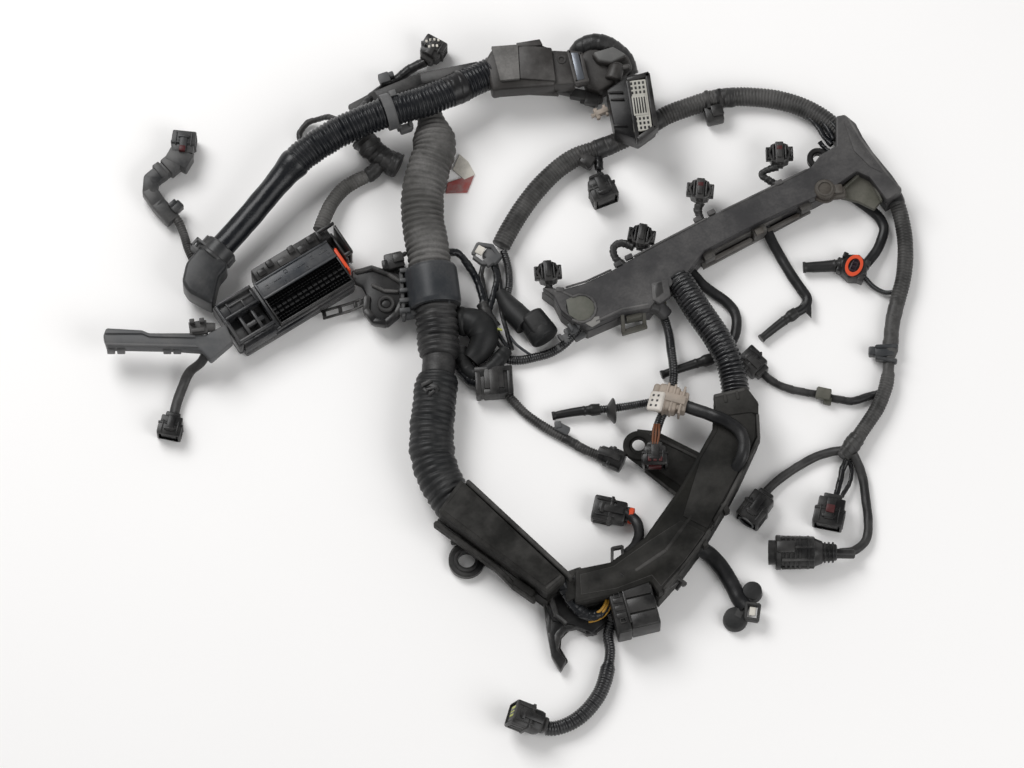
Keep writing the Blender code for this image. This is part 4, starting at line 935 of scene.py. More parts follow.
class HarnessTrunks(bpy.types.PropertyGroup):
    """Ribs and tape of the thick trunks."""

    left_pitch: bpy.props.FloatProperty(
        name="Left rib spacing",
        description="Distance between ribs of the left conduit, in millimetres", default=4.0,
        min=1.0, max=12.0
    )
    centre_pitch: bpy.props.FloatProperty(
        name="Centre rib spacing",
        description="Distance between ribs of the centre trunk, in millimetres", default=6.4,
        min=2.0, max=15.0
    )
    drop_pitch: bpy.props.FloatProperty(
        name="Drop rib spacing",
        description="Distance between ribs of the trunk to the trough, in millimetres", default=4.2,
        min=1.0, max=12.0
    )
    loop_pitch: bpy.props.FloatProperty(
        name="Loop rib spacing", description="Distance between ribs of the loop, in millimetres",
        default=3.3, min=1.0, max=12.0)


class HARNESS_OT_left_trunk(bpy.types.Operator):
    """Make the glossy left trunk: a smooth sleeve and a corrugated length to the upper duct"""

    bl_idname = "harness.left_trunk"
    bl_label = "Left trunk"

    def execute(self, context):
        pitch = context.scene.harness_trunks.left_pitch
        sleeve = stepped(
            ((0, 1.0), (96, 1.0), (112, 1.1), (122, 1.24), (127, 1.27), (129, 1.2)),
            smooth_skin(25.2, 0.28, 1.0)
        )
        hose(
            "left_sleeve_skin", LEFT_LINE, sleeve, "glossy_vinyl", ["left_sleeve"], 0.0, 128.0, 2.0,
            36
        )
        ribs = taped_ribs(LEFT_LINE.diameter, pitch, 1.5, 19.0, 0.35, 0.45, 3.0)
        conduit = stepped(((119, 0.9), (124, 1.0), (400, 1.0)), ribs)
        hose(
            "left_conduit_skin", LEFT_LINE, conduit, "glossy_vinyl", ["left_conduit"], 119.0, None,
            0.6, 44
        )
        return {"FINISHED"}


class HARNESS_OT_centre_trunk(bpy.types.Operator):
    """Make the thick centre trunk: dusty above its clamp, blacker below, then the taped wrap"""

    bl_idname = "harness.centre_trunk"
    bl_label = "Centre trunk"

    def execute(self, context):
        pitch = context.scene.harness_trunks.centre_pitch
        ribs = taped_ribs(CENTRE_LINE.diameter, pitch, 2.4, 31.0, 0.5, 0.6, 5.0)
        upper = stepped(((0, 0.62), (7, 0.66), (26, 1.0), (400, 1.0)), ribs)
        hose(
            "centre_conduit_upper", CENTRE_LINE, upper, "dusty_conduit", ["centre_conduit"], 0.0,
            182.0, 0.9, 56
        )
        lower_ribs = taped_ribs(43.5, pitch * 1.05, 2.2, 21.0, 0.9, 0.9, 8.0)
        lower = stepped(((198, 1.0), (258, 1.0), (262, 0.92), (268, 0.8)), lower_ribs)
        hose("centre_conduit_lower", CENTRE_LINE, lower, "dusty_tape", (), 200.0, 265.0, 0.9, 56)
        neck = wound(33.4, 9.0, 0.7, 0.5, 2.0)
        hose("centre_neck", CENTRE_LINE, neck, "dusty_tape", ["centre_wrap"], 256.0, 292.0, 0.9, 48)
        wrap_ribs = taped_ribs(45.0, 6.6, 1.7, 19.0, 0.9, 1.0, 11.0)
        wrap = stepped(
            (
                (283, 0.74), (286, 0.93), (294, 1.0), (352, 1.0), (361, 1.05), (367, 1.05),
                (372, 0.96), (380, 1.03), (390, 1.0), (700, 1.0)
            ),
            wrap_ribs
        )
        hose("centre_wrap_skin", CENTRE_LINE, wrap, "wrap_tape", (), 283.0, None, 0.8, 60)
        torn = Shape()
        for x, y, long, wide, turn in (
            (427, 383, 11, 4, 24), (434, 386, 9, 5, -30), (430, 389, 12, 3, 8),
            (437, 390, 6, 4, 60), (426, 390, 6, 3, -50), (432, 393, 8, 3, 40)
        ):
            torn.block((x, y, 45.5), (long, wide, 2.2), turn, 0.7, tip=12.0)
        torn.show("centre_wrap_torn_tape", IN_PLACE, "dusty_tape")
        return {"FINISHED"}


class HARNESS_OT_drop_and_loop(bpy.types.Operator):
    """Make the ribbed trunk from the rail to the trough, and the long loop"""

    bl_idname = "harness.drop_and_loop"
    bl_label = "Drop and loop"

    def execute(self, context):
        settings = context.scene.harness_trunks
        drop = corrugated(28.4, settings.drop_pitch, 1.9, 0.2, 2.0)
        hose("rail_drop_conduit", DROP_LINE, drop, "satin_conduit", ["rail_drop"], step=0.5, sides=36)
        loop = corrugated(19.8, settings.loop_pitch, 1.1, 0.25, 7.0)
        hose("loop_conduit_skin", LOOP_LINE, loop, "loop_conduit", ["loop_conduit"], step=0.6, sides=28)
        return {"FINISHED"}


def side_skin(along, turn):
    """The side conduit: ribbed, then taped, pinched in below its clip, ribbed again and knotted."""
    if along < 122.0:
        return corrugated(16.4, 3.2, 0.9, 0.2, 3.0)(along, turn)
    if along < 200.0:
        ends = ((122, 1.02), (160, 1.0), (164, 1.08), (174, 1.05), (181, 0.76), (196, 0.76), (200, 0.9))
        return stepped(ends, wound(15.6, 13.0, 0.4, 0.3, 4.0))(along, turn)
    if along < 268.0:
        return stepped(
            ((200, 0.92), (208, 1.0), (268, 1.0)), corrugated(15.0, 3.0, 0.7, 0.25, 9.0)
        )(along, turn)
    return stepped(
        ((268, 1.0), (276, 1.15), (292, 1.1), (299, 0.9)), wound(15.4, 6.0, 0.7, 0.8, 6.0)
    )(along, turn)


class HARNESS_OT_side_conduit(bpy.types.Operator):
    """Make the conduit at the right, with the knot where three leads break out"""

    bl_idname = "harness.side_conduit"
    bl_label = "Side conduit"

    def execute(self, context):
        cord(
            "side_conduit_skin", SIDE_LINE, side_skin, "loop_conduit", ["side_conduit"],
            step=0.6, sides=24
        )
        return {"FINISHED"}


class HARNESS_OT_centre_branches(bpy.types.Operator):
    """Make the taped junction, the ribbed branch to the control unit and the tail to the rail"""

    bl_idname = "harness.centre_branches"
    bl_label = "Centre branches"

    def execute(self, context):
        bundle = stepped(
            ((0, 0.98), (14, 1.05), (18, 0.86), (60, 1.05)), wound(26.0, 6.0, 1.3, 1.8, 2.0)
        )
        hose(
            "junction_tape", JUNCTION_LINE, bundle, "dusty_tape", ["junction_bundle"], step=0.7,
            sides=36
        )
        branch = stepped(
            ((0, 0.8), (18, 0.85), (24, 1.0), (200, 1.0)), corrugated(14.6, 3.2, 1.0, 0.4, 5.0)
        )
        hose(
            "ecu_branch_conduit", ECU_BRANCH_LINE, branch, "dusty_conduit", ["ecu_branch"],
            step=0.6, sides=24
        )
        tail = corrugated(9.4, 2.4, 0.8, 0.2, 5.0)
        hose(
            "rail_tail_conduit", RAIL_TAIL_LINE, tail, "satin_conduit", ["rail_tail"], step=0.5,
            sides=18
        )
        return {"FINISHED"}


def plug(name, spot, turn, size, finish="plug_black", tip=0.0, soft=1.4):
    """A sealed plug: a softened body, a collar, a shallow mouth, side ribs and a latch on top."""
    length, width, height = size
    shape = Shape()
    half, side, top = length / 2, width / 2, height / 2
    shape.socket((-0.06 * length, -side, -top), (half, side, top), 2.2, 3.4, soft)
    shape.box((half - 5.5, -side + 4.2, -top + 4.2), (half - 1.2, side - 4.2, top - 4.2), 0.8)
    shape.box((-half + 4.0, -0.9 * side, -0.9 * top), (0.1 * length, 0.9 * side, 0.9 * top), soft)
    shape.box((-half - 1.0, -0.62 * side, -0.62 * top), (-half + 5.5, 0.62 * side, 0.62 * top), soft)
    shape.box((-0.02 * length, -side - 0.7, -top + 1.5), (0.06 * length, side + 0.7, top + 0.7), 0.6)
    for level in (-0.5, 0.0, 0.5):
        low, high = level * top - 0.7, level * top + 0.7
        shape.box((0.08 * length, -side - 0.6, low), (half - 2.5, side + 0.6, high), 0.4)
    shape.box((-0.32 * length, -0.3 * side, top - 1.0), (0.34 * length, 0.3 * side, top + 1.5), 0.6)
    shape.box((0.2 * length, -0.46 * side, top - 0.6), (0.3 * length, 0.46 * side, top + 2.0), 0.5)
    for face in (-1, 1):
        low = (-0.1 * length, face * 0.64 * side - 0.6, top - 0.6)
        high = (0.42 * length, face * 0.64 * side + 0.6, top + 1.1)
        shape.box(low, high, 0.4)
    return shape.show(name, at(spot, turn, tip), finish)


def pencil_boot(name, places, size=9.2):
    """A glow plug's boot: a collar, a smooth barrel with a ridge and a thin open tip."""
    reach = route_length(smooth_route(places))
    stations = (
        (0, 1.2), (0.14 * reach, 1.32), (0.18 * reach, 1.3), (0.24 * reach, 1.02), (0.3 * reach, 0.98),
        (0.33 * reach, 1.12), (0.36 * reach, 1.0), (0.8 * reach, 0.9), (0.93 * reach, 0.84),
        (0.95 * reach, 0.96), (reach, 0.96),
    )
    return hose(name, Line(9.0, places), stepped(stations, smooth_skin(size, 0.08, 2.0)), "rubber",
                step=0.8, sides=24)


def tape_skin(line, pitch, seed):
    """A taped lead."""
    return wound(line.diameter + 0.2, pitch, 0.5, 0.35, seed)


def flat_skin(line, seed=0.0):
    """A lead in a flattened sleeve with soft creases."""
    def profile(along, turn):
        flat = 0.98 + 0.12 * math.cos(2 * FULL_TURN * turn)
        crease = 0.22 * unevenness(along, turn, 10.0, seed)
        return (line.diameter + 0.6) / 2 * flat + crease
    return profile


def ribbed_skin(line, pitch=2.5, seed=0.0, depth=0.85):
    """A lead in a thin corrugated conduit."""
    return corrugated(line.diameter + 0.4, pitch, depth, 0.2, seed)


class HARNESS_OT_glow_leads(bpy.types.Operator):
    """Make the four flat leads with pencil boots"""

    bl_idname = "harness.glow_leads"
    bl_label = "Glow plug leads"

    def execute(self, context):
        cord(
            "glow_lead_1_sleeve", GLOW_1_LINE, flat_skin(GLOW_1_LINE, 1.0), "glossy_sleeve",
            ["glow_lead_1"], step=0.8, sides=20
        )
        for number, line, places in ((2, GLOW_2_LINE, GLOW_2_BOOT), (3, GLOW_3_LINE, GLOW_3_BOOT)):
            boot = pencil_boot("glow_boot_%d" % number, places)
            cord("glow_lead_%d_sleeve" % number, line, flat_skin(line, number), "glossy_sleeve",
                 ["glow_lead_%d" % number], step=0.8, sides=20)
        fins = Shape()
        fins.strips(((799, 289, 8), (809, 302, 8)), 3.0, 4.0, 0.6)
        fins.plate(outline_at(((801, 303), (812, 296), (812, 318), (806, 312)), 9), 7.5, 9.5, 0.6)
        fins.show("glow_lead_2_fins", IN_PLACE, "glossy_sleeve")
        fourth = pencil_boot("glow_boot_4", GLOW_4_BOOT)
        shape = Shape()
        shape.rod((-3.0, 0, 0), (2.5, 0, 0), 5.4, 12.6, 32, 0.4)
        shape.rod((2.4, 0, 0), (4.4, 0, 0), 13.0, 12.8, 32, 0.5)
        flange = shape.show("glow_flange_4", at((610, 411, 13.6), 6.0, -6.0), "rubber")
        cord("glow_lead_4_conduit", GLOW_4_LINE, ribbed_skin(GLOW_4_LINE, 2.4), "satin_conduit",
             ["glow_lead_4"], step=0.5)
        return {"FINISHED"}


class HARNESS_OT_left_leads(bpy.types.Operator):
    """Make the leads at the left and top, with their plugs"""

    bl_idname = "harness.left_leads"
    bl_label = "Left leads"

    def execute(self, context):
        boot = Shape()
        boot.strips(((175, 158, 21), (160, 168, 21), (149, 177, 21), (148, 189, 20), (157, 202, 19),
                     (170, 216, 17)), 15.5, 15.0, 2.0, 2)
        boot.block((177, 158, 15), (17.0, 25.0, 18.0), 62.0, 1.6)
        boot.block((169, 164, 15), (14.0, 19.0, 17.0), 42.0, 1.6)
        boot.block((158, 171, 14), (8.0, 17.5, 16.0), 38.0, 1.2)
        boot.block((175, 207, 15), (9.0, 12.0, 12.0), -46.0, 1.2)
        boot.block((171, 203, 19), (5.0, 9.0, 6.0), -46.0, 0.9)
        boot = boot.show("sensor_boot", IN_PLACE, "sensor_grey")
        body = plug("sensor_plug", (181, 145, 14), 84.0, (27, 24, 23), "sensor_grey")
        tab = Shape()
        tab.block((180, 147, 25.5), (6.5, 6.0, 5.0), -6.0, 1.0)
        tab = tab.show("sensor_plug_tab", IN_PLACE, "dull_red")
        cord(
            "sensor_lead_conduit", SENSOR_LEAD_LINE, ribbed_skin(SENSOR_LEAD_LINE, 2.6),
            "loop_conduit", ["sensor_lead"], step=0.5
        )
        body = plug("arm_plug", (172, 426, 9), -102.0, (25, 24, 18))
        cord("arm_branch_tape", ARM_BRANCH_LINE, flat_skin(ARM_BRANCH_LINE, 4.0), "dusty_tape",
             ["arm_branch"], step=0.8, sides=20)
        body = plug("top_plug", (431, 48, 13), 60.0, (25, 24, 24), soft=4.0)
        pins = Shape()
        for x, y in ((-6, 4), (-2, 5), (2, 5), (6, 4), (-4, -2), (0, -1.5), (4, -2)):
            pins.box((x - 1.1, y - 1.4, 0), (x + 1.1, y + 1.4, 2.0), 0.4)
        pins = pins.show("top_plug_pins", at((432, 41, 25), 6.0), "label_paper")
        cord("top_lead_tape", TOP_LEAD_LINE, tape_skin(TOP_LEAD_LINE, 10.0, 5.0), "black_tape",
             ["top_lead"])
        body = plug("hanging_plug", (602, 188, 13), -68.0, (30, 27, 25), soft=4.0)
        cord("hanging_wires", HANGING_LINE, smooth_skin(5.0, 0.2), "black_tape",
             ["hanging_connector"])
        sleeve = Line(9.0, ((597, 149, 12), (599, 158, 11), (600, 168, 10)))
        hose("hanging_sleeve", sleeve, wound(9.4, 6.0, 0.5, 0.6, 3.0), "black_tape", step=0.8, sides=20)
        pigtail = Line(
            6.0,
            (
                (338, 118, 36), (326, 115, 24), (316, 117, 12), (306, 120, 6), (298, 130, 4),
                (298, 138, 4)
            )
        )
        hose("pigtail", pigtail, wound(6.2, 6.0, 0.4, 0.5, 1.0), "dusty_tape", step=0.8, sides=16)
        wire = Line(2.2, ((298, 136, 4), (297, 143, 3), (300, 149, 2)))
        hose("pigtail_wire", wire, smooth_skin(2.2), "olive_wire", step=0.8, sides=10)
        return {"FINISHED"}


class HARNESS_OT_right_leads(bpy.types.Operator):
    """Make the leads at the right, with their plugs"""

    bl_idname = "harness.right_leads"
    bl_label = "Right leads"

    def execute(self, context):
        boot = pencil_boot("glow_boot_1", GLOW_1_BOOT, size=12.0)
        body = Shape()
        body.rod((0, 0, -9), (0, 0, 6.0), 14.4, 14.0, 8, 1.4, 2)
        body.rod((0, 0, 5.0), (0, 0, 7.4), 12.6, 12.2, 24, 0.5)
        body.box((-15, -10, -8), (13, 10, 2.5), 2.2)
        for x, y in ((-12.5, -8), (-12.5, 8), (11, -9), (11, 9)):
            body.box((x - 2.6, y - 3, -6), (x + 2.6, y + 3, 6.4), 0.9)
        body.box((-19, -5.6, -7), (-12, 5.6, 1), 1.4)
        here = at((855, 268, 10), -24.0)
        body = body.show("orange_plug", here, "plug_black")
        ring = Shape()
        ring.ring((0, 0, 4.5), (0, 0, 9.2), 1.0, 0.66, 40, 0.06)
        bmesh.ops.scale(ring.edit, vec=Vector((8.6, 11.8, 1.0)), verts=ring.edit.verts)
        ring = ring.show("orange_plug_ring", here, "orange_seal")
        core = Shape()
        core.box((-3.8, -7.4, 2), (3.8, 7.4, 8.0), 1.6)
        for y in (-4.4, 0.0, 4.4):
            core.socket((-2.6, y - 1.9, 6), (2.6, y + 1.9, 9.6), 0.6, 2.4, 0.2, "z")
        core = core.show("orange_plug_core", here, "dark_violet")
        cord("orange_lead", ORANGE_LINE, ribbed_skin(ORANGE_LINE, 2.0, 0.0, 0.5), "satin_conduit",
             ["orange_connector"], step=0.5)
        body = plug("side_plug", (753, 364, 9), 135.0, (28, 24, 18))
        cord("side_lead_tape", SIDE_LEAD_LINE, tape_skin(SIDE_LEAD_LINE, 14.0, 6.0), "dusty_tape",
             ["side_lead"])
        body = plug("breakout_plug_a", (755, 507, 10), -125.0, (36, 26, 20))
        rim = Shape()
        rim.ring((17.4, 0, 0), (19.2, 0, 0), 9.2, 7.6, 28, 0.4)
        rim = rim.show("breakout_plug_a_rim", at((755, 507, 10), -125.0), "grey_plastic")
        cord("breakout_lead_a_tape", BREAKOUT_A_LINE, flat_skin(BREAKOUT_A_LINE, 7.0), "dusty_tape",
             ["breakout_lead_a"], step=0.8, sides=20)
        body = plug("breakout_plug_b", (828, 511, 11), -102.0, (33, 30, 20))
        tab = Shape()
        tab.box((-4.0, -4.4, 9.4), (4.6, 4.4, 12.8), 1.0)
        tab = tab.show("breakout_plug_b_tab", at((828, 511, 11), -102.0), "dull_red")
        strand = Line(4.6, ((846, 457, 9), (850, 469, 6), (848, 482, 6), (840, 496, 9)))
        hose(
            "breakout_lead_b_strand", strand, wound(4.8, 7.0, 0.3, 0.3, 4.0), "black_tape",
            step=0.8, sides=14
        )
        cord(
            "breakout_lead_b_tape", BREAKOUT_B_LINE, tape_skin(BREAKOUT_B_LINE, 14.0, 8.0),
            "black_tape", ["breakout_lead_b"]
        )
        shape = Shape()
        shape.ring((-2, 0, 0), (8, 0, 0), 12.4, 9.6, 32)
        shape.rod((5, 0, 0), (11, 0, 0), 17.6, 17.2, 36, 1.0)
        shape.rod((10, 0, 0), (44, 0, 0), 15.4, 15.8, 36, 1.0)
        for x in (14, 18.6, 23.2, 27.8, 36):
            shape.rod((x, 0, 0), (x + 2.6, 0, 0), 16.8, 16.8, 36, 0.5)
        for turn in range(8):
            angle = turn * FULL_TURN / 8
            y, z = 16.2 * math.cos(angle), 16.2 * math.sin(angle)
            shape.rod((11, y, z), (43, y * 0.96, z * 0.96), 1.7, 1.4, 8, 0.3)
        shape.rod((43, 0, 0), (52, 0, 0), 14.6, 11.0, 32, 1.0)
        shape.rod((51, 0, 0), (66, 0, 0), 9.4, 8.2, 28, 1.0)
        shape.rod((64, 0, -3), (84, 0, -5), 5.0, 4.6, 24, 1.0)
        for x in (53, 57, 61):
            shape.rod((x, 0, 0), (x + 2, 0, 0), 10.6, 10.4, 28, 0.5)
        shape.box((6, -6, 14), (24, 6, 19.6), 1.6)
        body = shape.show("breakout_plug_c", at((768, 551, 18)), "plug_black")
        cord("breakout_lead_c_tape", BREAKOUT_C_LINE, flat_skin(BREAKOUT_C_LINE, 9.0), "dusty_tape",
             ["breakout_lead_c"], step=0.8, sides=20)
        return {"FINISHED"}


class HARNESS_OT_lower_leads(bpy.types.Operator):
    """Make the leads round the trough and the lower left cover, with their plugs"""

    bl_idname = "harness.lower_leads"
    bl_label = "Lower leads"

    def execute(self, context):
        here = at((668, 400, 36), 165.0)
        body = Shape()
        body.box((-10, -13.5, -9.5), (12, 13.5, 9.5), 3.6, 3)
        body.box((-19, -10.5, -8), (-8, 10.5, 8), 2.4)
        for x in (-14.5, -5.0, 2.0):
            body.box((x, -14.6, -8.6), (x + 2.2, 14.6, 10.6), 0.8)
        body.box((-17, -4.5, 7), (8, 4.5, 11.4), 1.2)
        body.box((10, -12, -8.6), (17.6, 12, 8.6), 3.4, 3)
        body = body.show("beige_plug", here, "beige_plastic")
        face = Shape()
        face.box((-8.0, -10.4, -4.0), (8.0, 10.4, 2.2), 2.4, 4)
        tilted = at((655, 401, 45), 165.0, -26.0)
        face = face.show("beige_plug_face", tilted, "cream_plastic")
        # Painted shade: dark boxes on the cream face stand in for the shade inside its holes
        holes = Shape()
        for y in (-5.4, 0.0, 5.4):
            for x in (-2.6, 3.0):
                holes.box((x - 1.2, y - 1.2, 1), (x + 1.2, y + 1.2, 2.5), 0.3)
        holes = holes.show("beige_plug_hole_shade", tilted, "pin_block")
        cord("beige_cable", BEIGE_LINE, flat_skin(BEIGE_LINE, 1.0), "glossy_sleeve",
             ["beige_connector"], step=0.8, sides=22)

        body = plug("drop_plug", (654, 455, 28.5), -90.0, (25, 25, 20), soft=3.0)
        pins = Shape()
        for x in (-5.5, 0.0, 5.5):
            pins.box((5.0, x - 1.7, 8.6), (9.6, x + 1.7, 11.6), 0.5)
        pins.box((11.0, -6.5, -4.0), (13.6, 6.5, 4.0), 0.8)
        pins = pins.show("drop_plug_pins", at((654, 455, 28.5), -90.0), "dull_red")
        cord("drop_lead_conduit", DROP_LEAD_LINE, ribbed_skin(DROP_LEAD_LINE, 2.6), "satin_conduit",
             ["drop_lead"], step=0.5)
        for number, shift in enumerate((-2.2, 0.0, 2.4), 1):
            wire = Line(
                2.2, ((656 + shift, 424, 27), (655 + 1.3 * shift, 434, 30), (654 + shift, 444, 34))
            )
            hose(
                "drop_plug_wire_%d" % number, wire, smooth_skin(2.2), "orange_wire", step=0.8,
                sides=10
            )

        here = at((611, 511, 9), 168.0)
        body = plug("duct_plug", (611, 511, 9), 168.0, (38, 25, 18), soft=3.0)
        seal = Shape()
        seal.ring((-22.5, 0, 0), (-17, 0, 0), 8.2, 4.2, 28, 1.0)
        seal = seal.show("duct_plug_seal", here, "orange_seal")
        cord("duct_lead_sleeve", DUCT_LEAD_LINE, flat_skin(DUCT_LEAD_LINE, 2.0), "glossy_sleeve",
             ["duct_lead"], step=0.8, sides=20)

        here = at((528, 714, 19), 164.0, 20.0)
        body = plug("bottom_plug", (528, 714, 19), 164.0, (38, 25, 26), tip=20.0, soft=5.0)
        pins = Shape()
        pins.box((13.4, -6.4, -2), (18.7, 4.6, 11.6), 0.6)
        pins = pins.show("bottom_plug_pins", here, "yellow_green")
        # Painted shade: dark strips across the pins stand in for the shade in the gaps between them
        gap = Shape()
        gap.box((12.8, -3.4, 0), (19.0, -1.0, 11.9), 0.3)
        gap.box((12.8, 0.6, 0), (19.0, 2.6, 11.9), 0.3)
        gap = gap.show("bottom_plug_gap_shade", here, "pin_block")
        ribs = ribbed_skin(BOTTOM_LINE, 2.8)
        skin = stepped(((0, 0.82), (44, 0.82), (50, 1.12), (120, 1.16), (150, 1.08), (200, 0.96)), ribs)
        cord("bottom_lead_conduit", BOTTOM_LINE, skin, "satin_conduit",
             ["bottom_lead"], step=0.5, sides=20)

        shape = Shape()
        shape.upright((733, 615), 12.5, 0.5, 11.0, 11.5, 32, 1.6)
        shape.upright((750, 588), 10.5, 0.5, 13.0, 9.5, 32, 1.6)
        shape.strips(((748, 588, 12), (742, 602, 12), (735, 614, 11)), 11.0, 11.0, 2.0)
        shape.strips(((744, 600, 17), (757, 602, 17), (755, 617, 16), (743, 615, 16), (744, 600, 17)),
                     3.0, 8.0, 0.8)
        disc = shape.show("corner_discs", IN_PLACE, "matt_rubber")
        pad = Shape()
        pad.block((750, 609, 13), (6.5, 9.0, 2.0), -8.0, 0.6)
        pad = pad.show("corner_clip_pad", IN_PLACE, "label_paper")
        cord("corner_lead_sleeve", CORNER_LINE, flat_skin(CORNER_LINE, 3.0), "glossy_sleeve",
             ["corner_lead"], step=0.8, sides=24)

        here = at((609, 457, 11), -24.0)
        shape = Shape()
        shape.rod((-4, 0, 0), (15, 0, 0), 10.6, 10.9, 28, 1.4, 2)
        shape.rod((-11, 0, 0), (-3, 0, 0), 8.6, 9.0, 24, 1.4, 2)
        shape.box((-12, -3.6, 6), (12, 3.6, 12.4), 1.2)
        for y in (-8.8, 8.8):
            shape.box((-3, y - 1.2, -4), (13, y + 1.2, 6), 0.6)
        shape.box((0, -10.8, -3), (4, 10.8, 8.5), 1.4)
        body = shape.show("cover_plug", here, "plug_black")
        cord("cover_lead_conduit", COVER_LEAD_LINE, ribbed_skin(COVER_LEAD_LINE, 2.6), "loop_conduit",
             ["cover_lead"], step=0.5)
        return {"FINISHED"}


class HARNESS_OT_wraps_and_clips(bpy.types.Operator):
    """Make the tape wraps, small clips and the torn paper label along the conduits"""

    bl_idname = "harness.wraps_and_clips"
    bl_label = "Wraps and clips"

    def execute(self, context):
        wraps = (
            ("loop_wrap", LOOP_LINE, 118.0, 140.0, 20.6, "dusty_tape"),
            ("loop_lower_wrap", LOOP_LINE, 252.0, 274.0, 20.6, "dusty_tape"),
            ("loop_box_wrap", LOOP_LINE, 196.0, 214.0, 20.5, "dusty_tape"),
            ("cover_lead_wrap", COVER_LEAD_LINE, 72.0, 104.0, 9.9, "dusty_tape"),
            ("drop_lead_sleeve", DROP_LEAD_LINE, 112.0, 128.0, 11.0, "glossy_sleeve"),
            ("side_upper_wrap", SIDE_LINE, 0.0, 16.0, 18.4, "dusty_tape"),
            ("branch_wrap", ECU_BRANCH_LINE, 0.0, 20.0, 15.6, "dusty_tape"),
            ("left_end_wrap", LEFT_LINE, 298.0, 318.0, 33.4, "black_tape"),
        )
        for number, (name, line, start, end, size, finish) in enumerate(wraps):
            reach = route_length(smooth_route(line.places))
            ends = ((start, 0.93), (start + 2, 1.0), (end - 2, 1.0), (end, 0.92))
            skin = stepped(ends, wound(size, 8.0, 0.6, 0.5, float(number)))
            hose(name, line, skin, finish, (), start, min(end, reach), 0.8, 28)

        clips = Shape()
        clips.block((716, 113, 10), (18.0, 17.0, 14.0), 14.0, 2.0)
        clips.block((719, 108, 17), (12.0, 12.0, 6.0), 14.0, 1.2)
        clips.strips(((708, 88, 20), (711, 104, 20)), 5.0, 8.0, 1.2)
        clips.strips(((721, 86, 20), (724, 103, 20)), 5.0, 8.0, 1.2)
        clips.block((588, 160, 12), (13.0, 12.0, 14.0), -30.0, 1.8)
        clips.strips(((580, 149, 20), (590, 165, 18)), 5.0, 8.0, 1.2)
        clips.show("loop_clips", IN_PLACE, "plug_black")

        right = Shape()
        right.block((884, 352, 12), (20.0, 12.0, 8.0), 8.0, 2.6)
        right.strips(((876, 346, 18), (897, 345, 18)), 4.0, 10.0, 1.2)
        right.strips(((876, 357, 18), (896, 360, 18)), 4.0, 10.0, 1.2)
        right.block((873, 352, 10), (9.0, 9.0, 11.0), 0.0, 1.6)
        right.show("side_conduit_clip", IN_PLACE, "satin_clamp")

        green = Shape()
        green.block((823, 394, 9), (15.0, 12.0, 8.0), -12.0, 1.6)
        green.strips(((817, 388, 12), (829, 391, 12)), 3.0, 6.0, 0.8)
        green.block((827, 401, 5), (8.0, 7.0, 8.0), -12.0, 1.2)
        green.show("side_lead_clip", IN_PLACE, "clip_green")

        grey = Shape()
        grey.block((562, 429, 9), (15.0, 9.0, 9.0), -28.0, 1.6)
        grey.block((558, 425, 12), (7.0, 7.0, 6.0), 10.0, 1.2)
        grey.block((383, 76, 15), (11.0, 11.0, 12.0), 20.0, 1.6)
        grey.block((389, 72, 12), (7.0, 6.0, 8.0), 20.0, 1.2)
        grey.show("small_clips", IN_PLACE, "grey_plastic")

        flat = Shape()
        flat.strips(((352, 106, 24), (376, 93, 22), (420, 75, 22), (476, 64, 30)), 13.0, 9.0, 2.2, 2)
        flat.show("upper_flat_channel", IN_PLACE, "dusty_tape")

        label = Shape()
        label.plate(
            outline_at(((452, 168), (459, 152), (468, 160), (475, 173), (464, 178)), 1), 0.3, 1.6,
            0.3, 1
        )
        label.show("paper_label", IN_PLACE, "label_paper")
        red = Shape()
        red.plate(
            outline_at(((462, 176), (474, 173), (467, 191), (445, 192), (447, 181)), 1), 0.2, 1.3,
            0.3, 1
        )
        red.show("red_label", IN_PLACE, "label_red")
        return {"FINISHED"}


# Control unit connector: its middle on the board and its turn
ECU_CENTRE = (300.0, 277.0)
ECU_READ_HEIGHT = 36.0
ECU_TURN = 33.0


def ecu_frame():
    """The control unit connector's own frame: x along it to the upper right, z from the floor."""
    middle = board((*ECU_CENTRE, ECU_READ_HEIGHT))
    middle.z = 0.0
    return Matrix.Translation(middle) @ Matrix.Rotation(math.radians(ECU_TURN), 4, "Z")


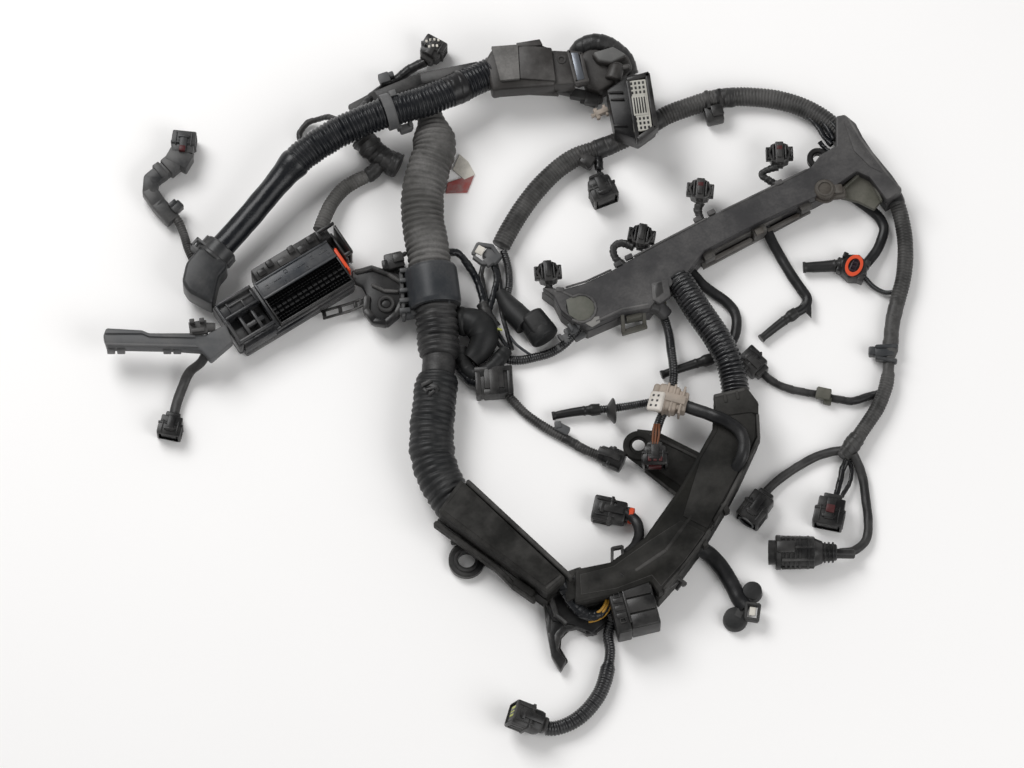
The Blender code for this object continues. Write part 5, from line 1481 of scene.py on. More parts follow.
class HARNESS_OT_control_connector(bpy.types.Operator):
    """Make the large control unit connector: pin grid, comb rim, orange seal, lever and ribbed cover"""

    bl_idname = "harness.control_connector"
    bl_label = "Control unit connector"

    def execute(self, context):
        frame_at = ecu_frame()
        body = Shape()
        body.box((-84, -32, 0), (44, 20, 13), 2.0)
        body.box((-46, -30.5, 12), (44, 19.5, 28), 1.2)
        body.box((-84, -32, 12), (-42, -26, 27), 1.0)
        body.box((-84, 12, 12), (-42, 20, 27), 1.0)
        body.box((-48, -33, 12), (44.5, -30, 17), 0.8)
        body.box((-48, -33, 23), (44.5, -30.6, 28), 0.8)
        body.box((41, -31, 2), (45, 20, 28), 1.0)
        body.show("ecu_body", frame_at, "blue_black", ["ecu_housing"])

        cover = Shape()
        cover.box((-90, 2, 8), (-46, 23, 31), 2.0, 2)
        cover.box((-90, -29, 8), (-46, 4, 15), 2.0, 2)
        cover.box((-90, -29, 14), (-84, 4, 31), 1.6, 2)
        cover.box((-88, -27, 30), (-47, -24, 36), 0.8)
        cover.box((-88, 18, 30), (-47, 21, 36), 0.8)
        cover.box((-89, -27, 29), (-86, 21, 36), 0.8)
        for x, low, high in ((-78, 4, 19), (-63, 4, 14), (-50, 4, 19)):
            cover.box((x, low, 30), (x + 1.8, high, 33.5), 0.4)
        cover.box((-78, 12, 30), (-50, 13.6, 33.5), 0.4)
        cover.box((-86, 2, 28), (-48, 4.4, 34), 0.6)
        for x in (-74, -60):
            cover.box((x, -26, 20), (x + 3.4, 3, 28), 0.8)
        cover.box((-72, -14, 16), (-50, -9, 24), 1.2)
        cover.show("ecu_lead_cover", frame_at, "blue_black")

        top = Shape()
        top.box((-43, -1, 27.5), (43, 18.7, 36.2), 1.0)
        top.box((-43, -1.4, 35), (43, 0.8, 37.6), 0.5)
        top.box((-43, 16.8, 35), (43, 18.8, 37.4), 0.5)
        top.box((-43.4, -1, 33), (-41, 18.5, 37.4), 0.5)
        for x, y in ((-33, 9), (-14, 3.4), (-9, 13.2), (12, 4.4), (21, 11.6), (34, 12.6), (37.5, 5)):
            top.socket((x - 1.9, y - 1.9, 35), (x + 1.9, y + 1.9, 36.7), 0.6, 1.6, 0.0, "z")
        for x in (-25, 3, 29):
            top.box((x, 9.5, 36), (x + 9, 10.3, 36.8), 0.2)
        top.show("ecu_top_face", frame_at, "blue_grey", ["ecu_terminal_block"])

        pins = Shape()
        pins.grid((-42, -10.2, 28.0), (42, -1.6, 35.6), 26, 3, 0.55, 3.0)
        pins.grid((-42, -20.6, 28.0), (42, -10.8, 34.9), 14, 2, 0.8, 3.5)
        pins.grid((-42, -30.6, 28.0), (42, -21.2, 34.3), 26, 3, 0.55, 3.0)
        pins.box((-43, -31.4, 27), (-41.6, -1.3, 36), 0.4)
        pins.box((41.6, -31.4, 27), (43.4, -1.3, 36.4), 0.4)
        pins.box((-43, -31.8, 27), (43, -30.4, 35), 0.4)
        pins.show("ecu_pin_face", frame_at, "pin_block", ["ecu_pin_block"])

        rim = Shape()
        rim.box((-38, 19, 4), (50, 33, 37), 1.6)
        for x, y, wide, high in (
            (-34, 24, 9, 39), (-22, 27, 7, 41), (-11, 22, 10, 38.6), (4, 28, 7, 41.5),
            (13, 23, 9, 39.4), (26, 27, 8, 40.5), (37, 23, 9, 39)
        ):
            rim.box((x, y - 3, 35), (x + wide, y + 4.5, high), 1.2)
        rim.show("ecu_comb_rim", frame_at, "black_plastic")

        seal = Shape()
        seal.box((44.2, -21, 7), (47.2, 7.4, 36), 1.3, 3)
        seal.box((43.4, -17, 35), (46.8, 5.5, 37.2), 0.8, 2)
        seal.ribs((44.6, -19.5, 35.6), (46.6, 6.5, 36.8), 4)
        seal.show("ecu_orange_seal", frame_at, "orange_seal", ["ecu_seal"])

        lever = Shape()
        lever.box((50.4, -8, 0.6), (53.2, 25, 30), 1.0)
        lever.box((55.2, -7, 8), (58, 25, 45.5), 0.9)
        lever.box((38, 26.5, 40), (58, 29.4, 45.5), 0.9)
        lever.box((36, 20, 36.6), (39.6, 29.4, 45.5), 0.9)
        lever.box((48.6, -8.4, 38), (58, -5.4, 44), 0.8)
        lever.box((52.8, -6, 10), (55.6, 24, 16), 0.6)
        lever.show("ecu_lever_frame", frame_at, "black_plastic", ["ecu_lever"])
        return {"FINISHED"}


class HARNESS_OT_left_covers(bpy.types.Operator):
    """Make the rounded elbow cover and the flat channel at the far left"""

    bl_idname = "harness.left_covers"
    bl_label = "Left covers"

    def execute(self, context):
        elbow = Shape()
        outline = (
            (198, 247), (208, 246), (228, 263), (226, 268), (219, 276), (213, 304), (188, 291),
            (182, 281), (186, 262),
        )
        elbow.plate(outline_at(outline, 44), 11.0, 44.0, 4.0, 4)
        elbow.show("elbow_cover_body", IN_PLACE, "sensor_grey", ["elbow_cover"])
        collar = Shape()
        collar.ring((-9, 0, 0), (5, 0, 0), 17.2, 12.9, 32, 1.2)
        collar.ring((-12, 0, 0), (-8, 0, 0), 18.2, 13.5, 32, 0.8)
        collar.box((-7, 15.5, -5), (4, 19, 5), 0.8)
        collar.box((-8, -18.5, -6), (3, -15, 6), 0.8)
        collar.show("elbow_collar", at((219, 250, 29.5), 50.0, 6.0), "sensor_grey")
        tabs = Shape()
        tabs.box((-6, -2, -9), (-3.4, 11, 9), 0.6)
        tabs.box((3.0, -2, -9), (5.6, 11, 9), 0.6)
        tabs.box((-6, 8.4, -9), (5.6, 11, -5), 0.6)
        tabs.box((-6, 8.4, 5), (5.6, 11, 9), 0.6)
        tabs.box((-4, 3, -4), (4, 5.4, 4), 0.5)
        tabs.show("elbow_clip_tabs", at((202, 250, 33), 50.0), "grey_plastic")

        arm = Shape()
        outline = (
            (104, 335), (107, 327), (143, 329), (150, 332), (192, 332), (206, 334), (226, 323),
            (234, 340), (212, 359), (202, 349), (175, 347), (124, 346), (108, 346),
        )
        arm.plate(outline_at(outline, 42), 25.0, 40.0, 2.2, 3)
        strip = (
            (106, 331), (143, 331), (150, 334), (196, 335), (196, 337.5), (150, 336.5),
            (143, 333.5), (106, 333.5)
        )
        arm.plate(outline_at(strip, 42), 39.0, 42.0, 0.6)
        strip = ((106, 342.5), (196, 344.5), (200, 347), (174, 346.5), (108, 345))
        arm.plate(outline_at(strip, 42), 39.0, 41.8, 0.6)
        for x in (112, 122, 168, 178):
            foot = board((x, 350, 30)) / MM
            arm.box((foot.x - 4, foot.y - 3, 25), (foot.x + 4, foot.y + 2.5, 35), 0.8)
        arm.show("arm_channel_body", IN_PLACE, "grey_plastic", ["arm_channel"])
        clip = Shape()
        clip.box((-9, -7, -4), (9, 7, 2), 1.0)
        clip.box((-8, 3, 0), (-3, 7.5, 9), 0.7)
        clip.box((2, 3, 0), (7, 7.5, 8), 0.7)
        clip.box((-7, -6, 0), (6, -2, 6), 0.7)
        clip.rod((8, 0, -2), (17, -1, -2), 5.2, 4.4, 20)
        clip.show("arm_clip", at((199, 328, 40), 8.0), "dusty_tape")
        return {"FINISHED"}


class HARNESS_OT_upper_duct(bpy.types.Operator):
    """Make the duct at the top, its hub with a dome and the bare metal plate between"""

    bl_idname = "harness.upper_duct"
    bl_label = "Upper duct and hub"

    def execute(self, context):
        duct = Shape()
        duct.plate(
            outline_at(
                ((485, 56), (492, 44), (540, 39), (553, 45), (556, 82), (500, 86), (492, 88)), 54
            ),
            25.0, 50.5, 4.0, 3
        )
        duct.plate(outline_at(((518, 41), (552, 44), (556, 78), (520, 76)), 55), 48.0, 53.0, 1.6)
        duct.plate(outline_at(((550, 46), (570, 47), (576, 80), (553, 82)), 50), 24.0, 47.0, 2.4, 3)
        duct.plate(outline_at(((516, 40), (540, 36), (543, 42), (518, 44)), 54), 44.0, 53.5, 0.8)
        duct.plate(
            outline_at(((494, 88), (553, 83), (560, 92), (520, 90), (498, 92)), 30), 22.0, 29.0, 2.0
        )
        duct.strips(((497, 86, 38), (552, 81, 38)), 3.0, 5.0, 1.0)
        duct.show("upper_duct_body", IN_PLACE, "duct_plastic", ["upper_duct"])
        panel = Shape()
        panel.plate(outline_at(((491, 43), (518, 41), (520, 76), (500, 78)), 56), 48.0, 54.5, 1.0)
        panel.show("upper_duct_end_panel", IN_PLACE, "grainy_panel")
        hole = Shape()
        hole.ring((0, 0, -2.4), (0, 0, 0.8), 4.4, 2.7, 24, 0.3)
        hole.show("duct_screw_bush", at((562, 57, 47.5)), "duct_plastic")

        frame_around = Shape()
        for corners in (
            ((567, 48), (571, 48), (579, 80), (575, 81)),
            ((579.5, 49), (583, 50), (589, 77), (585, 78)),
            ((568, 47), (583, 50), (582, 53), (569, 51)),
            ((575, 78), (589, 76), (590, 79), (576, 82)),
        ):
            frame_around.plate(outline_at(corners, 50), 40.0, 51.0, 0.7)
        frame_around.show("plate_frame", IN_PLACE, "duct_plastic")
        steel = Shape()
        steel.plate(
            outline_at(((571.4, 50.6), (578.4, 50.6), (585, 77), (578, 79)), 50), 30.0, 51.6, 0.3
        )
        steel.show("steel_plate_face", IN_PLACE, "bare_steel", ["steel_plate"])

        hub = Shape()
        hub.plate(
            outline_at(
                (
                    (580, 52), (588, 44), (610, 42), (629, 50), (634, 64), (622, 74), (612, 82),
                    (602, 88), (586, 82)
                ),
                40
            ),
            12.0, 38.0, 4.0, 4
        )
        hub.plate(
            outline_at(((592, 50), (614, 44), (628, 52), (612, 60), (598, 58)), 50), 30.0, 47.0,
            2.4, 3
        )
        hub.plate(outline_at(((590, 84), (606, 82), (603, 95), (589, 96)), 24), 4.0, 22.0, 1.5, 2)
        hub.show("duct_hub_body", IN_PLACE, "duct_plastic", ["duct_hub"])
        cap = Shape()
        cap.plate(
            outline_at(((594, 49), (614, 43), (627, 51), (612, 59), (599, 57)), 50), 44.0, 48.5,
            1.8, 3
        )
        cap.show("hub_top_plate", IN_PLACE, "hub_plastic")
        dome = Shape()
        dome.rod((0, -13, 0), (0, 3, 0), 8.4, 8.0, 28, 1.6, 3)
        dome.rod((0, 3, 0), (0, 6, 0), 8.0, 5.0, 28, 0.6)
        dome.rod((6, 2, 1), (13, 5, 2), 3.4, 2.8, 16, 0.6)
        dome.show("hub_dome", at((617, 66, 40), -16.0), "duct_plastic")
        behind = Line(
            22.0,
            (
                (576, 56, 20), (583, 44, 30), (597, 40, 34), (613, 45, 32), (626, 58, 26),
                (630, 72, 20)
            )
        )
        hose("hub_conduit", behind, wound(20.0, 7.0, 0.6, 0.6, 4.0), "dusty_tape", step=0.7, sides=28)
        jaws = Shape()
        jaws.box((-24, -4, -6), (-4, 5, 4), 1.2)
        jaws.box((-6, -6, -7), (12, 4, 3), 1.2)
        jaws.box((10, -10, -6), (24, 2, 4), 1.4)
        jaws.rod((6, -5, -4), (22, -8, -4), 3.6, 3.2, 18)
        jaws.show("duct_jaws", at((577, 90, 20), -12.0), "black_plastic")
        return {"FINISHED"}


class HARNESS_OT_fuse_box(bpy.types.Operator):
    """Make the black junction box: a raised rim round a whitish face with rows of slots"""

    bl_idname = "harness.fuse_box"
    bl_label = "Junction box"

    def execute(self, context):
        box = Shape()
        box.plate(outline_at(((607, 86), (632, 69), (651, 71), (657, 123), (639, 136), (615, 127)), 56),
                  20.3, 50.0, 2.0, 3)
        for corners in (
            ((645.5, 71), (650.5, 71), (659, 125), (654, 128)),
            ((654, 124), (659, 126), (640, 140.5), (637, 136)),
            ((627, 76), (649, 69.5), (650.5, 74), (629, 80)),
            ((626.5, 79), (630, 78), (640, 136), (636, 138)),
        ):
            box.plate(outline_at(corners, 62), 46.0, 62.0, 0.7)
        for low, high in (((609, 92), (624, 83)), ((611, 99), (625, 91)), ((614, 126), (628, 122))):
            a, b = (Vector(board((*corner, 50))) / MM for corner in (low, high))
            box.box((a.x, a.y, 48), (b.x, a.y + 2.2, 52.5), 0.7)
        box.show("fuse_box_body", IN_PLACE, "plug_black", ["fuse_box"])

        here = at((640.5, 105, 58.5), 7.0)
        face = Shape()
        face.box((-9.4, -27.5, -1), (9.2, 27.5, 3.0), 0.8)
        face.box((-7.4, -11, 2), (7.4, 10.4, 3.8), 0.5)
        face.show("fuse_terminal_face", here, "pale_terminals", ["fuse_terminals"])
        # Painted shade: dark boxes on the pale face stand in for the shade inside its slots
        dark = Shape()
        for row in (-24.5, -19.5, -14.5, 14.0, 19.0, 24.0):
            for column in (-6.0, -2.0, 2.0, 6.0):
                dark.box((column - 1.1, row - 1.5, 1), (column + 1.1, row + 1.5, 3.3), 0.3)
        for column in (-5.2, -2.6, 0.0, 2.6, 5.2):
            dark.box((column - 0.7, -9.0, 1), (column + 0.7, 8.4, 4.1), 0.3)
        dark.show("fuse_slot_shade", here, "pin_block")
        clip = Shape()
        clip.box((-7, -2.6, -4), (6, 2.6, 4), 0.9)
        clip.box((-8, -6, -3), (-4, 6, 3), 0.9)
        clip.box((2, -6, -3), (5, 6, 3), 0.9)
        clip.rod((-12, 0, 0), (-6, 0, 0), 2.4, 1.8, 16)
        clip.show("box_cream_clip", at((603, 110, 34), 24.0), "beige_plastic")
        return {"FINISHED"}


# Height that the rail's trim stands on, the width of an injector connector and the height at which
# its place is read, in millimetres
RAIL_TOP = 34.0
INJECTOR_WIDTH = 26.0
INJECTOR_HEIGHT = 27.5

# Injector connectors: middle on the board, turn, and the places of the bent stem
INJECTORS = (
    ((548, 273), 95.0, ((546, 286, 24), (551, 291, 22), (558, 294, 20), (562, 302, 18))),
    (
        (642, 236), 80.0,
        ((634, 246, 24), (622, 243, 22), (614, 247, 20), (615, 257, 20), (624, 265, 20))
    ),
    ((701, 190), 85.0, ((701, 202, 24), (699, 210, 22), (703, 219, 20), (708, 224, 20))),
    (
        (781, 153), 92.0,
        ((779, 165, 24), (768, 169, 21), (763, 174, 20), (770, 179, 20), (778, 184, 20))
    ),
)


class HARNESS_OT_rail_trim(bpy.types.Operator):
    """Make what is moulded on the rail: its rims, side wall, clips, recess, hook ring, boss and web"""

    bl_idname = "harness.rail_trim"
    bl_label = "Rail trim"

    def execute(self, context):
        top = RAIL_TOP
        wall = Shape()
        wall.strips(((702, 255, 22), (812, 197, 22)), 5.0, 18.0, 0.5)
        wall.strips(((704, 249, 31), (813, 191, 31)), 3.0, 3.0, 0.4)
        wall.strips(((704, 265, 8), (810, 209, 8)), 6.5, 4.0, 0.6)
        wall.block((709, 256, 22), (12.0, 9.0, 12.0), 27.0, 1.2)
        wall.block((806, 206, 22), (12.0, 9.0, 12.0), 27.0, 1.2)
        wall.block((760, 232, 15), (15.0, 8.0, 20.0), 27.0, 1.5)
        wall.show("rail_side_wall", IN_PLACE, "rail_shadow")
        tan = Shape()
        tan.strips(((715, 257, 15), (752, 238, 15)), 4.0, 7.0, 1.0)
        tan.strips(((769, 229, 15), (800, 213, 15)), 4.0, 7.0, 1.0)
        tan.block((760, 231, 25), (9.0, 7.0, 5.0), 27.0, 1.2)
        tan.show("rail_side_strip", IN_PLACE, "boss_brown")

        rim = Shape()
        rim.strips(
            ((566, 287, top + 0.8), (586, 281, top + 0.8), (611, 269.5, top + 0.8)), 2.0, 2.2, 0.6
        )
        rim.strips(
            ((634, 256, top + 0.9), (658, 243, top + 0.9), (707, 217.5, top + 0.9)), 2.0, 2.2, 0.6
        )
        rim.strips(
            ((722, 210.5, top + 0.8), (764, 190, top + 0.8), (808, 168.5, top + 0.8)), 2.0, 2.2, 0.6
        )
        for x, y, turn in (
            (560, 290, -8), (618, 264, 25), (629, 257, 25), (698, 219, 27), (712, 212, 27),
            (780, 182, 26)
        ):
            rim.block((x, y, top - 1), (8.0, 5.0, 5.0), turn, 0.9)
        rim.strips(
            (
                (851, 117, top + 0.6), (862, 136, top + 0.6), (888, 172, top + 0.6),
                (902, 188, top + 0.6)
            ),
            2.4, 2.0, 0.6
        )
        rim.show("rail_rims", IN_PLACE, "rail_plastic")

        panels = Shape()
        panels.strips(
            ((596, 321, top + 0.5), (622, 309, top + 0.5), (648, 304, top + 0.5)), 2.2, 2.0, 0.5
        )
        panels.plate(
            outline_at(
                ((846, 120), (856, 132), (868, 152), (884, 172), (872, 166), (856, 150)), top
            ),
            top - 1.0, top + 1.0, 0.6
        )
        panels.show("rail_panels", IN_PLACE, "rail_plastic")

        nose = Shape()
        curve = [math.radians(angle) for angle in range(-125, 126, 25)]
        nose.strips([(581 + 15.0 * math.cos(angle), 308 - 14.0 * math.sin(angle), top + 1.6)
                     for angle in curve], 2.6, 4.0, 0.8)
        nose.strips(((572, 296, top + 1.4), (562, 291, top + 1.0), (554, 291, top)), 2.6, 3.0, 0.8)
        nose.show("rail_recess_lip", IN_PLACE, "rail_plastic")
        floor = Shape()
        floor.plate(outline_at(((566, 300), (574, 296), (586, 296), (594, 303), (595, 312), (588, 320),
                                (578, 321), (569, 315)), top), top - 3.5, top + 0.3, 0.3)
        floor.show("rail_recess_floor", IN_PLACE, "recess_green")
        scuff = Shape()
        scuff.plate(outline_at(((585, 323), (590, 317), (599, 316), (600, 322), (592, 327)), top + 1),
                    top - 0.5, top + 0.35, 0.3)
        scuff.show("rail_nose_scuff", IN_PLACE, "pale_scuff")

        clip = Shape()
        clip.strips(((620, 309, 33), (644, 302, 33)), 3.6, 7.0, 0.6)
        clip.strips(((622, 312, 30), (624, 334, 8)), 4.0, 5.0, 0.6)
        clip.strips(((643, 304, 30), (645, 326, 8)), 4.0, 5.0, 0.6)
        clip.strips(((623, 332, 10), (646, 325, 10)), 5.0, 6.0, 0.6)
        clip.block((634, 318, 18), (16.0, 4.0, 14.0), 15.0, 0.8)
        clip.show("rail_clip_frame", IN_PLACE, "clip_green")
        small = Shape()
        small.block((573, 331, 16), (9.0, 8.0, 10.0), 30.0, 1.0)
        small.block((566, 339, 12), (7.0, 9.0, 9.0), 30.0, 1.0)
        small.block((580, 337, 12), (12.0, 5.0, 6.0), 30.0, 0.8)
        small.block((570, 328, 24), (3.0, 7.0, 10.0), 30.0, 0.6)
        small.block((577, 325, 24), (3.0, 7.0, 10.0), 30.0, 0.6)
        small.show("rail_tail_clip", IN_PLACE, "grey_plastic")

        cavity = Shape()
        cavity.plate(outline_at(((651, 283), (668, 279), (671, 296), (660, 304), (652, 300)), top),
                     top - 6.0, top + 1.2, 1.6)
        cavity.strips(((650, 302, 30), (660, 306, 26), (668, 314, 20)), 13.0, 14.0, 3.0, 3)
        cavity.show("rail_outlet", IN_PLACE, "rail_plastic")
        dark = Shape()
        dark.plate(
            outline_at(((653, 285), (662, 281), (664, 293), (656, 299)), top + 1), top, top + 1.6,
            1.2
        )
        dark.show("rail_outlet_shadow", IN_PLACE, "pin_block")
        ferrule = Shape()
        ferrule.loop((660, 302), 6.6, 4.6, 18.0, 23.0, 24, 0.6)
        ferrule.show("drop_lead_ferrule", IN_PLACE, "clip_green")

        hook = Shape()
        hook.loop((820, 156), 11.0, 5.0, 12.0, 22.0, 28, 1.4)
        hook.strips(((826, 164, 22), (834, 158, 24), (838, 148, 26)), 7.0, 10.0, 1.5, 2)
        hook.show("rail_hook_ring", IN_PLACE, "black_plastic")
        boss = Shape()
        boss.rod((0, 0, -2), (0, 0, 7), 11.4, 10.4, 32, 2.6, 3)
        boss.ring((0, 0, 6.5), (0, 0, 8.2), 8.4, 6.4, 32, 0.4)
        boss.ring((0, 0, -2), (0, 0, 1.0), 13.0, 10.0, 32, 0.5)
        boss.box((5, -10, -6), (21, 3, 2), 3.0, 3)
        boss.box((9, -6, 0), (18, 4, 5), 1.6, 2)
        boss.show("rail_boss", at((826, 190, 29), 8.0), "boss_brown")
        web = Shape()
        web.plate(
            outline_at(
                ((840, 184), (868, 163), (884, 198), (876, 208), (860, 200), (842, 196)), 22
            ),
            14.0, 21.0, 1.2
        )
        web.strips(((846, 186, 25), (868, 166, 25)), 3.0, 8.0, 0.8)
        web.strips(((869, 166, 25), (883, 199, 25)), 3.0, 8.0, 0.8)
        web.show("rail_web", IN_PLACE, "clip_green")
        bundle = Shape()
        bundle.block((858, 184, 14), (20.0, 12.0, 10.0), 25.0, 3.0, 3)
        bundle.show("rail_web_bundle", IN_PLACE, "rail_shadow")
        ends = (
            Line(6.5, ((812, 108, 13), (822, 116, 17), (830, 126, 19), (836, 138, 20))),
            Line(6.0, ((808, 112, 12), (819, 122, 15), (826, 134, 17), (834, 143, 20))),
            Line(5.5, ((818, 110, 14), (828, 116, 18), (836, 122, 21), (842, 130, 22))),
            Line(5.0, ((822, 140, 16), (828, 147, 16), (834, 150, 18), (840, 147, 20))),
        )
        for number, line in enumerate(ends, 1):
            skin = wound(line.diameter, 7.0, 0.4, 0.5, float(number))
            hose("loop_end_wires_%d" % number, line, skin, "glossy_vinyl", step=0.8, sides=16)
        return {"FINISHED"}


def injector(number, spot, turn, stem):
    """An octagonal injector connector with its side lugs, latch and bent taped stem."""
    across = INJECTOR_WIDTH / 2
    body = Shape()
    body.ring((0, 0, -9.5), (0, 0, 6.5), across - 1.2, across - 4.4, 8, 0.8)
    body.rod((0, 0, -8), (0, 0, 3.5), across - 4.6, None, 8, 0.5)
    body.box((-11.4, -4.2, -6), (11.0, 4.2, 8.6), 1.0)
    body.box((-6.5, -2.4, 8), (8.0, 2.4, 10.6), 0.8)
    for side in (-1, 1):
        body.box((-6.5, side * 12.6 - 1.2, -4), (6.5, side * 12.6 + 1.2, 5), 0.8)
        body.box((-6.5, side * 11 - 2.4, -4), (-4.0, side * 11 + 2.4, 5), 0.6)
        body.box((4.0, side * 11 - 2.4, -4), (6.5, side * 11 + 2.4, 5), 0.6)
        body.box((-7.4, side * 6.2 - 0.8, 5.6), (7.4, side * 6.2 + 0.8, 8.0), 0.5)
    body.box((-13.2, -3.4, -7), (-10.4, 3.4, 1), 0.8)
    placed = at((*spot, INJECTOR_HEIGHT), turn)
    body.show("injector_body_%d" % number, placed, "black_plastic", ["injector_connector_%d" % number])
    if number > 2:
        core = Shape()
        core.box((1.5, -2.8, 7.6), (5.8, 2.8, 10.9), 0.6)
        core.show("injector_lock_%d" % number, placed, "dull_red")
    line = Line(8.0, stem)
    skin = stepped(
        ((0, 1.12), (5, 1.0), (14, 0.86), (60, 1.1)), wound(8.6, 4.5, 0.8, 0.7, float(number))
    )
    hose("injector_stem_%d" % number, line, skin, "dusty_tape", step=0.6, sides=18)


class HARNESS_OT_injectors(bpy.types.Operator):
    """Make the four injector connectors with their bent stems"""

    bl_idname = "harness.injectors"
    bl_label = "Injector connectors"

    def execute(self, context):
        for number, (spot, turn, stem) in enumerate(INJECTORS, 1):
            injector(number, spot, turn, stem)
        return {"FINISHED"}


# Tops of the curved trough and of the lower left cover, millimetres
TROUGH_TOP = 42.0
COVER_TOP = 52.0


class HARNESS_OT_trough_trim(bpy.types.Operator):
    """Make the curved trough's collar, panels, lips, clip and teeth"""

    bl_idname = "harness.trough_trim"
    bl_label = "Trough trim"

    def execute(self, context):
        top = TROUGH_TOP
        panels = Shape()
        upper = ((718, 412), (748, 408), (754, 418), (753, 438), (737, 470), (705, 527), (681, 515),
                 (699, 459), (716, 431))
        panels.plate(outline_at(upper, top), top - 1.0, top + 1.1, 1.0)
        lower = ((679, 519), (703, 531), (683, 558), (659, 584), (650, 573), (615, 586), (580, 592),
                 (579, 572), (612, 564), (646, 540))
        panels.plate(outline_at(lower, top), top - 1.0, top + 0.6, 0.8)
        collar = ((712, 395), (745, 387), (757, 403), (757, 414), (749, 413), (716, 417))
        panels.plate(outline_at(collar, top), top - 10.0, top + 2.6, 1.6)
        panels.show("trough_panels", IN_PLACE, "trough_plastic")

        lips = Shape()
        lips.strips(((756, 414, top + 1), (757, 437, top + 1), (741, 468, top + 1), (724, 500, top + 1),
                     (712, 519, top + 1)), 3.2, 16.0, 0.8)
        lips.strips(
            ((708, 527, top), (697, 543, top), (677, 569, top), (662, 586, top)), 3.0, 14.0, 0.8
        )
        lips.strips(
            ((690, 514, top + 1.4), (664, 548, top + 1.4), (634, 568, top + 1.4)), 5.0, 4.0, 1.6
        )
        lips.strips(((714, 396, top + 3.6), (743, 389, top + 3.6)), 3.0, 5.0, 0.9)
        lips.block((723, 508, top - 6), (10.0, 6.0, 12.0), -58.0, 1.0)
        lips.block((701, 541, top - 8), (12.0, 6.0, 12.0), -55.0, 1.0)
        for x, y in ((724, 398), (736, 395)):
            lips.block((x, y, top + 2.6), (3.0, 9.0, 2.4), 10.0, 0.5)
        lips.show("trough_lips", IN_PLACE, "trough_plastic")

        small = Shape()
        small.strips(((611, 563, 40), (611, 546, 42), (621, 544, 42), (622, 561, 40)), 3.0, 7.0, 0.8)
        for x, y, turn in ((667, 577, -65), (672, 581, -50), (677, 584, -35), (664, 585, -80)):
            small.block((x, y, 26), (3.4, 9.0, 5.0), turn, 0.9)
        small.strips(((668, 570, 30), (684, 582, 24)), 5.0, 8.0, 1.2)
        small.block((680, 545, 36), (14.0, 16.0, 10.0), -30.0, 2.5, 2)
        small.show("trough_clip_and_teeth", IN_PLACE, "black_plastic")

        plate = Shape()
        plate.loop((638, 445), 15.6, 8.6, 12.0, 17.5, 36, 1.0)
        plate.strips(((650, 434, 18), (682, 450, 18), (706, 462, 18)), 3.2, 4.0, 0.8)
        plate.strips(((645, 470, 18), (668, 488, 18), (684, 500, 18)), 3.2, 4.0, 0.8)
        plate.plate(outline_at(((648, 436), (704, 463), (690, 492), (652, 466)), 17), 12.0, 17.0, 0.8)
        plate.show("trough_bracket_plate", IN_PLACE, "trough_plastic")
        return {"FINISHED"}


